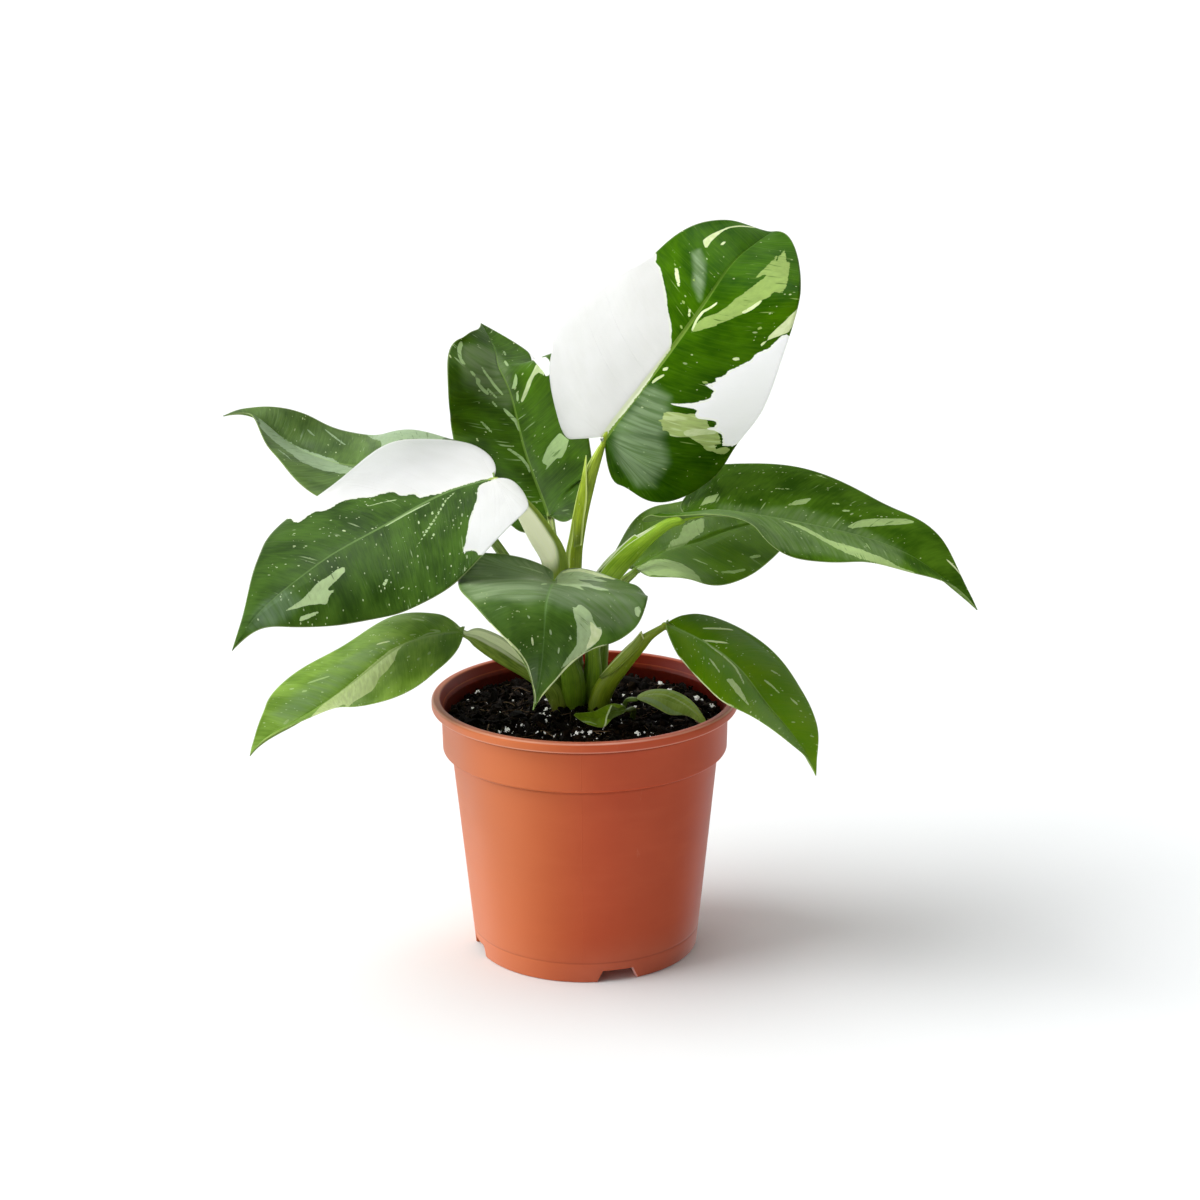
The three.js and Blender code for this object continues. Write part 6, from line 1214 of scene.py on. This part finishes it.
# ------------------------------------------------------------------ potting mix
def soil_base(x, y):
    d = np.hypot(x + 4.2, y - 4.8)
    r = np.hypot(x, y) / 54
    return 94.4 + 4.4 * np.exp(-((d / 12) ** 2)) + (1 - r**4) * (0.55 * np.sin(x * 0.21 + 1.3) * np.cos(y * 0.17) + 0.45 * np.sin(x * 0.09 - y * 0.31 + 0.6)) - 0.7 * r**6


rng = np.random.default_rng(11)
nr, na = 96, 384
rr = np.concatenate([[0.0], np.linspace(0.7, 54.2, nr)])
th = np.linspace(0, 2 * np.pi, na, endpoint=False)
X = (rr[1:, None] * np.cos(th)).ravel()
Y = (rr[1:, None] * np.sin(th)).ravel()


def crumb(x, y):
    p = np.stack([x, y], -1)
    q = p + 0.9 * np.stack([value_noise(p / 2.0, 41), value_noise(p / 2.0, 42)], -1)
    h = 0.55 * value_noise(q / 7.5, 1) + 0.62 * value_noise(q / 3.6, 2) + 0.55 * np.abs(value_noise(q / 1.9, 3)) + 0.30 * value_noise(q / 1.0, 4)
    return h


def soil_top(x, y):
    r = np.hypot(x, y)
    return soil_base(x, y) + crumb(x, y) * (1 - 0.5 * smooth(r, 50, 54.2)) - 0.25


Z = soil_top(X, Y)
jit = 0.28 * (1 - smooth(np.hypot(X, Y), 51, 54))
X = X + jit * value_noise(np.stack([X / 0.9, Y / 0.9], -1), 8)
Y = Y + jit * value_noise(np.stack([X / 0.9, Y / 0.9], -1), 9)
verts = np.vstack([[[0, 0, float(soil_top(np.zeros(1), np.zeros(1))[0])]], np.stack([X, Y, Z], -1)])
faces = [[0, 1 + k, 1 + (k + 1) % na] for k in range(na)]
for i in range(nr - 1):
    for k in range(na):
        a, b = 1 + i * na + k, 1 + i * na + (k + 1) % na
        faces.append([a, a + na, b + na, b])
# sides and bottom of the root ball, which fill the pot
levels = [(54.2, 92.0), (53.9, 84.6), (50.6, 82.0), (43.3, 8.4), (42.5, 7.0)]
base = 1 + (nr - 1) * na
extra = []
for r_, z_ in levels:
    extra.append(np.column_stack([r_ * np.cos(th), r_ * np.sin(th), np.full(na, z_)]))
n0 = len(verts)
verts = np.vstack([verts] + extra + [[[0, 0, 7.0]]])
prev = base
for i in range(len(levels)):
    cur = n0 + i * na
    faces += [[prev + k, cur + k, cur + (k + 1) % na, prev + (k + 1) % na] for k in range(na)]
    prev = cur
faces += [[prev + k, len(verts) - 1, prev + (k + 1) % na] for k in range(na)]

g = Graph("potting_mix")
co = g.obj()
n1 = g.noise(co, 190.0, 4.0, 0.65)
n2 = g.noise(co, 900.0, 3.0, 0.7)
vo = g.voronoi(co, 420.0)
cell = g.split(vo["Color"])
col = g.mix(g.step(n1, 0.35, 0.72), srgb(6, 4, 3), srgb(24, 17, 11))
col = g.mix(g.mul(g.step(cell[0], 0.62, 0.9), 0.55), col, srgb(34, 24, 15))
col = g.mix(g.mul(g.step(cell[1], 0.86, 0.95), 0.5), col, srgb(84, 64, 42))
col = g.mix(g.mul(g.step(n2, 0.62, 0.75), 0.35), col, srgb(56, 43, 32))
h = g.add(g.mul(n1, 0.8), g.add(g.mul(vo["Distance"], 0.7), g.mul(n2, 0.3)))
g.set(color=col, rough=g.add(0.62, g.mul(n1, 0.35)), normal=g.bump(h, 0.001, 1.0), spec=0.07)
soil = make("potting_mix_surface", verts, faces, g.mat)
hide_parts("potting_mix")
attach(soil, "root")


def ico(level):
    p = (1 + 5**0.5) / 2
    V = [(-1, p, 0), (1, p, 0), (-1, -p, 0), (1, -p, 0), (0, -1, p), (0, 1, p), (0, -1, -p), (0, 1, -p), (p, 0, -1), (p, 0, 1), (-p, 0, -1), (-p, 0, 1)]
    F = [(0, 11, 5), (0, 5, 1), (0, 1, 7), (0, 7, 10), (0, 10, 11), (1, 5, 9), (5, 11, 4), (11, 10, 2), (10, 7, 6), (7, 1, 8), (3, 9, 4), (3, 4, 2), (3, 2, 6), (3, 6, 8), (3, 8, 9), (4, 9, 5), (2, 4, 11), (6, 2, 10), (8, 6, 7), (9, 8, 1)]
    V = [np.array(v, float) / math.hypot(1, p) for v in V]
    for _ in range(level):
        seen, G = {}, []
        def mid(a, b):
            k = (min(a, b), max(a, b))
            if k not in seen:
                seen[k] = len(V)
                V.append(unit(V[a] + V[b]))
            return seen[k]
        for a, b, c in F:
            x, y, z = mid(a, b), mid(b, c), mid(c, a)
            G += [(a, x, z), (b, y, x), (c, z, y), (x, y, z)]
        F = G
    return np.array(V), [list(f) for f in F]


def turn(rng, flat=0.0):
    q = unit(rng.normal(size=4))
    if flat:
        q = unit(np.array([1, *(rng.normal(size=3) * np.array([1 - flat, 1 - flat, 3]))]))
    w, x, y, z = q
    return np.array([[1 - 2 * (y * y + z * z), 2 * (x * y - z * w), 2 * (x * z + y * w)], [2 * (x * y + z * w), 1 - 2 * (x * x + z * z), 2 * (y * z - x * w)], [2 * (x * z - y * w), 2 * (y * z + x * w), 1 - 2 * (x * x + y * y)]])


def scatter(n, inner=0.0, outer=52.5):
    a = rng.uniform(0, 2 * np.pi, n)
    r = np.sqrt(rng.uniform(inner**2, outer**2, n))
    return r * np.cos(a), r * np.sin(a)


def grains(name, places, sizes, level, rough, stretch, mat, sink=0.25, sharp=True, tilt=0.0):
    bv, bf = ico(level)
    V, F, T = [], [], []
    xy = np.asarray(places, float)
    ground = soil_top(xy[:, 0], xy[:, 1])
    lump = np.arange(len(xy))[:, None, None]
    lump = 1 + rough * value_noise((bv[None] * 1.7 + lump * 7.1).reshape(-1, 3), 3) + 0.5 * rough * value_noise((bv[None] * 3.9 + lump * 3.3).reshape(-1, 3), 4)
    lump = lump.reshape(len(xy), len(bv))
    for i, ((x, y), s) in enumerate(zip(places, sizes)):
        k = lump[i]
        ax = np.array(stretch(i)) * s
        p = (bv * k[:, None] * ax) @ turn(rng, tilt).T
        z = float(ground[i])
        p = p + np.array([x, y, z + min(ax) * 0.5 * (1 - sink) + 0.1])
        # keep each grain inside the rim
        rr_ = np.hypot(p[:, 0], p[:, 1])
        lim = 54.0
        f_ = np.where(rr_ > lim, lim / np.maximum(rr_, 1e-6), 1)
        p[:, :2] *= f_[:, None]
        V.append(p)
        F += [[a + i * len(bv) for a in f] for f in bf]
        T.append(np.full(len(bv), rng.uniform()))
    o = make(name, np.vstack(V), F, mat, {"pick": np.concatenate(T)}, flat=sharp)
    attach(o, "root")
    return o


def grain_material(name, colours, rough, bumpy, spec=0.3, sss=0.0, glow=0.0):
    g = Graph(name)
    co = g.obj()
    pick = g.attr("pick")
    nn = g.noise(co, 700.0, 3.0, 0.6)
    col = g.mix(g.step(pick, 0.0, 0.5), srgb(*colours[0]), srgb(*colours[1]))
    col = g.mix(g.step(pick, 0.55, 1.0), col, srgb(*colours[2]))
    col = g.mix(g.mul(g.step(nn, 0.45, 0.7), 0.5), col, srgb(*colours[3]))
    g.set(color=col, rough=rough, normal=g.bump(nn, 0.001 * bumpy, 0.8), spec=spec, sss=sss)
    g.bsdf.inputs["Subsurface Scale"].default_value = 0.0015
    # painted light: the optional weak glow keeps the grains bright where they lie in shade
    g.bsdf.inputs["Emission Color"].default_value = (1.0, 0.99, 0.96, 1.0)
    g.bsdf.inputs["Emission Strength"].default_value = glow
    return g.mat


crumbs = grain_material("crumbs", [(8, 5, 4), (16, 11, 7), (36, 25, 16), (5, 3, 2)], 0.8, 0.4, 0.07)
n = 2300
x, y = scatter(n, 0, 53.0)
grains("peat_crumbs", list(zip(x, y)), rng.gamma(2.4, 0.31, n) + 0.28, 0, 0.55, lambda i: (1.0 + 1.1 * ((i * 3) % 7) / 7, 0.85, 0.6), crumbs, 0.2)
bark = grain_material("bark", [(16, 10, 7), (30, 20, 13), (58, 40, 27), (10, 7, 5)], 0.7, 0.6, 0.2)
n = 190
x, y = scatter(n, 6, 52.0)
grains("bark_pieces", list(zip(x, y)), rng.uniform(0.6, 1.5, n), 1, 0.5, lambda i: (1.9 + (i % 7) * 0.3, 0.6, 0.4), bark, 0.35, tilt=0.75)
white = grain_material("perlite", [(250, 249, 244), (253, 252, 249), (254, 254, 252), (240, 238, 230)], 0.85, 0.4, 0.2, 0.0, 0.22)
PERLITE = [[-12.5, 5.2, 0.95], [-13.7, 2.3, 0.45], [-15.2, 0.2, 0.95], [-16.1, -4.0, 0.95], [-16.8, -6.2, 0.75], [-17.3, -0.7, 0.5], [-13.4, -8.9, 1.05], [-15.0, -11.9, 0.6], [-17.0, -13.5, 0.45], [-10.1, -5.0, 0.6], [-11.1, 0.2, 0.42], [-4.3, -5.6, 0.65], [-23.5, -16.0, 1.0], [-24.4, -16.0, 0.6], [-26.5, -14.4, 0.4], [-29.3, -19.7, 1.05], [-30.6, -21.5, 0.9], [-31.7, -22.4, 0.6], [-33.1, -22.0, 0.7], [-34.9, -19.4, 0.45], [-30.8, -15.5, 0.4], [-3.3, -26.8, 0.95], [-4.6, -28.0, 0.7], [-4.0, -25.6, 0.5], [-1.2, -24.9, 1.05], [-2.1, -25.7, 0.5], [-10.8, -26.8, 0.65], [-11.5, -27.5, 0.45], [2.3, -23.1, 0.7], [1.7, -23.9, 0.4], [-16.5, -28.5, 0.5], [19.6, 9.0, 0.85], [28.5, -10.9, 0.95], [26.2, -24.8, 0.9], [25.4, -28.7, 0.6], [14.2, -13.6, 0.42], [33.7, -14.6, 0.5], [44.5, 17.8, 1.15], [43.5, 19.1, 0.6], [-40.3, 26.3, 0.6], [-46.6, 73.5, 0.65], [11.1, -25.3, 0.42], [20.6, 60.4, 0.7], [24.7, 57.2, 0.75], [25.0, 54.0, 0.5], [30.4, 37.4, 0.85], [28.0, 18.2, 0.5], [37.5, 2.5, 0.45], [-21.8, 10.9, 0.4], [-33.4, 1.9, 0.42], [-28.8, 17.7, 0.4], [-46.8, 18.3, 0.5], [4.6, -29.0, 0.4], [5.9, -24.5, 0.35], [-7.4, -28.8, 0.4]]
x, y = scatter(90, 12, 52.0)
near = [(p[0] + rng.normal(0, 2.2), p[1] + rng.normal(0, 2.6), p[2] * rng.uniform(0.2, 0.4)) for p in PERLITE for _ in range(2)]
places = [tuple(p[:2]) for p in PERLITE + near] + list(zip(x, y))
sizes = np.concatenate([[p[2] for p in PERLITE + near], rng.gamma(2.0, 0.17, 90) + 0.18])
grains("perlite_grains", places, sizes, 2, 0.75, lambda i: (1.15, 0.75 + 0.35 * ((i * 7) % 10) / 10, 0.7), white, -0.1)

# fibres and fine roots lying on the mix
V, F, T = [], [], []
nf, ns, sides = 230, 15, 5
x, y = scatter(nf, 4, 50.0)
for i in range(nf):
    a = rng.uniform(0, 2 * np.pi)
    ln = rng.uniform(4, 17)
    s = np.linspace(-0.5, 0.5, ns)
    bend = rng.normal(0, 0.9)
    px = x[i] + ln * (s * np.cos(a) - bend * (s**2 - 0.1) * np.sin(a) * 0.8)
    py = y[i] + ln * (s * np.sin(a) + bend * (s**2 - 0.1) * np.cos(a) * 0.8)
    wob = 0.4 * value_noise(np.stack([s * 6, np.full(ns, i * 3.7)], -1), 6)
    px, py = px + wob * np.sin(a), py - wob * np.cos(a)
    lim = 53.3
    rr_ = np.maximum(np.hypot(px, py), 1e-6)
    k = np.where(rr_ > lim, lim / rr_, 1)
    px, py = px * k, py * k
    lift = rng.uniform(0.0, 0.5) + rng.uniform(0, 0.9) * np.sin((s + 0.5) * np.pi) ** 2
    pz = soil_base(px, py) + 0.35 + lift + 0.35 * crumb(px, py)
    C = np.stack([px, py, pz], -1)
    Tn = unit(np.gradient(C, axis=0))
    A = unit(np.cross(Tn, [0, 0, 1.0]))
    B = np.cross(A, Tn)
    rad = rng.uniform(0.10, 0.24) * (1 - 0.75 * np.abs(s * 2) ** 3)
    t = np.linspace(0, 2 * np.pi, sides, endpoint=False)
    ring = C[:, None] + rad[:, None, None] * (np.cos(t)[None, :, None] * A[:, None] + np.sin(t)[None, :, None] * B[:, None])
    b = sum(len(q) for q in V)
    V.append(ring.reshape(-1, 3))
    for k in range(ns - 1):
        for q in range(sides):
            F.append([b + k * sides + q, b + k * sides + (q + 1) % sides, b + (k + 1) * sides + (q + 1) % sides, b + (k + 1) * sides + q])
    F.append([b + q for q in range(sides)][::-1])
    F.append([b + (ns - 1) * sides + q for q in range(sides)])
    T.append(np.full(ns * sides, rng.uniform()))
fibre = grain_material("fibres", [(26, 17, 12), (56, 40, 28), (140, 112, 84), (40, 28, 20)], 0.7, 0.2, 0.2)
o = make("fibres", np.vstack(V), F, fibre, {"pick": np.concatenate(T)})
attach(o, "root")

# ------------------------------------------------------------------ floor, light, camera
g = Graph("studio_floor")
g.set(color=(0.885 * 0.978, 0.885, 0.885 * 1.004), rough=0.9, spec=0.1)
fm = bpy.data.meshes.new("floor")
fm.from_pydata([(-15, -15, 0), (15, -15, 0), (15, 15, 0), (-15, 15, 0)], [], [(0, 1, 2, 3)])
fm.materials.append(g.mat)
floor = bpy.data.objects.new("floor", fm)
bpy.context.scene.collection.objects.link(floor)
floor.visible_glossy = False

world = bpy.data.worlds.new("studio")
bpy.context.scene.world = world
world.use_nodes = True
wt = world.node_tree
wt.nodes.clear()
wo = wt.nodes.new("ShaderNodeOutputWorld")
wb = wt.nodes.new("ShaderNodeBackground")
wc = wt.nodes.new("ShaderNodeTexCoord")
ws = wt.nodes.new("ShaderNodeSeparateXYZ")
wt.links.new(wc.outputs["Generated"], ws.inputs[0])
def ramp(sock, lo, hi, a, b):
    n = wt.nodes.new("ShaderNodeMapRange")
    n.interpolation_type = "SMOOTHSTEP"
    n.inputs[1].default_value, n.inputs[2].default_value = lo, hi
    n.inputs[3].default_value, n.inputs[4].default_value = a, b
    wt.links.new(sock, n.inputs[0])
    return n.outputs[0]


def plus(a, b):
    n = wt.nodes.new("ShaderNodeMath")
    n.operation = "ADD"
    wt.links.new(a, n.inputs[0])
    wt.links.new(b, n.inputs[1])
    return n.outputs[0]


# a dark room toward the viewer, a bright backdrop, a soft ceiling and a little from the left
back = ramp(ws.outputs[1], 0.1, 0.65, 0.03, 0.8)
roof = ramp(ws.outputs[2], 0.78, 0.93, 0.0, 0.78)
left = ramp(ws.outputs[0], -0.3, -0.85, 0.0, 0.35)
# softboxes overhead and at the left, seen in the gloss only
box_light = plus(ramp(ws.outputs[2], 0.84, 0.985, 0.0, 7.0), ramp(ws.outputs[0], -0.5, -0.95, 0.0, 2.2))
path = wt.nodes.new("ShaderNodeLightPath")
boxed = wt.nodes.new("ShaderNodeMath")
boxed.operation = "MULTIPLY"
wt.links.new(path.outputs["Is Glossy Ray"], boxed.inputs[0])
wt.links.new(box_light, boxed.inputs[1])
front = plus(ramp(ws.outputs[1], 0.1, -0.7, 0.0, 0.04), ramp(ws.outputs[0], 0.3, 0.9, 0.0, 0.2))
wt.links.new(plus(plus(plus(plus(back, roof), left), front), boxed.outputs[0]), wb.inputs["Strength"])
wb.inputs["Color"].default_value = (1.0, 1.0, 1.0, 1.0)
wt.links.new(wb.outputs[0], wo.inputs[0])


def sun(name, azimuth, elevation, angle, strength):
    """azimuth: 0 is the viewer's side, negative toward the left"""
    ld = bpy.data.lights.new(name, "SUN")
    ld.angle = math.radians(angle)
    ld.energy = strength
    lo_ = bpy.data.objects.new(name, ld)
    bpy.context.scene.collection.objects.link(lo_)
    lo_.visible_glossy = False
    a, e = math.radians(azimuth), math.radians(elevation)
    z = np.array([math.sin(a) * math.cos(e), -math.cos(a) * math.cos(e), math.sin(e)])
    x_ = unit(np.cross([0, 0, 1.0], z))
    M = np.eye(4)
    M[:3, 0], M[:3, 1], M[:3, 2], M[:3, 3] = x_, np.cross(z, x_), z, z * 2
    lo_.matrix_world = Matrix(M.tolist())
    return lo_


for args in [('key', -84.0, 50.0, 46.0, 2.75), ('low', -48.0, 13.0, 50.0, 0.85)]:
    sun(*args)

EL, ROLL = math.radians(16.02), math.radians(-0.30)
fwd = np.array([0, math.cos(EL), -math.sin(EL)])
right0 = np.array([1.0, 0, 0])
up0 = np.cross(right0, fwd)
right = math.cos(ROLL) * right0 + math.sin(ROLL) * up0
up = -math.sin(ROLL) * right0 + math.cos(ROLL) * up0
cam_data = bpy.data.cameras.new("camera")
cam_data.sensor_fit = "HORIZONTAL"
cam_data.sensor_width = 36.0
cam_data.lens = 2578.0 / 1200 * 36.0
cam_data.clip_start, cam_data.clip_end = 0.05, 100.0
cam = bpy.data.objects.new("camera", cam_data)
bpy.context.scene.collection.objects.link(cam)
M = np.eye(4)
M[:3, 0], M[:3, 1], M[:3, 2] = right, up, -fwd
M[:3, 3] = np.array([6.2, -1000 * math.cos(EL), 141.2 + 1000 * math.sin(EL)]) * MM
cam.matrix_world = Matrix(M.tolist())
bpy.context.scene.camera = cam
bpy.context.scene.view_settings.view_transform = "Standard"
bpy.context.scene.view_settings.look = "None"

bpy.context.view_layer.update()
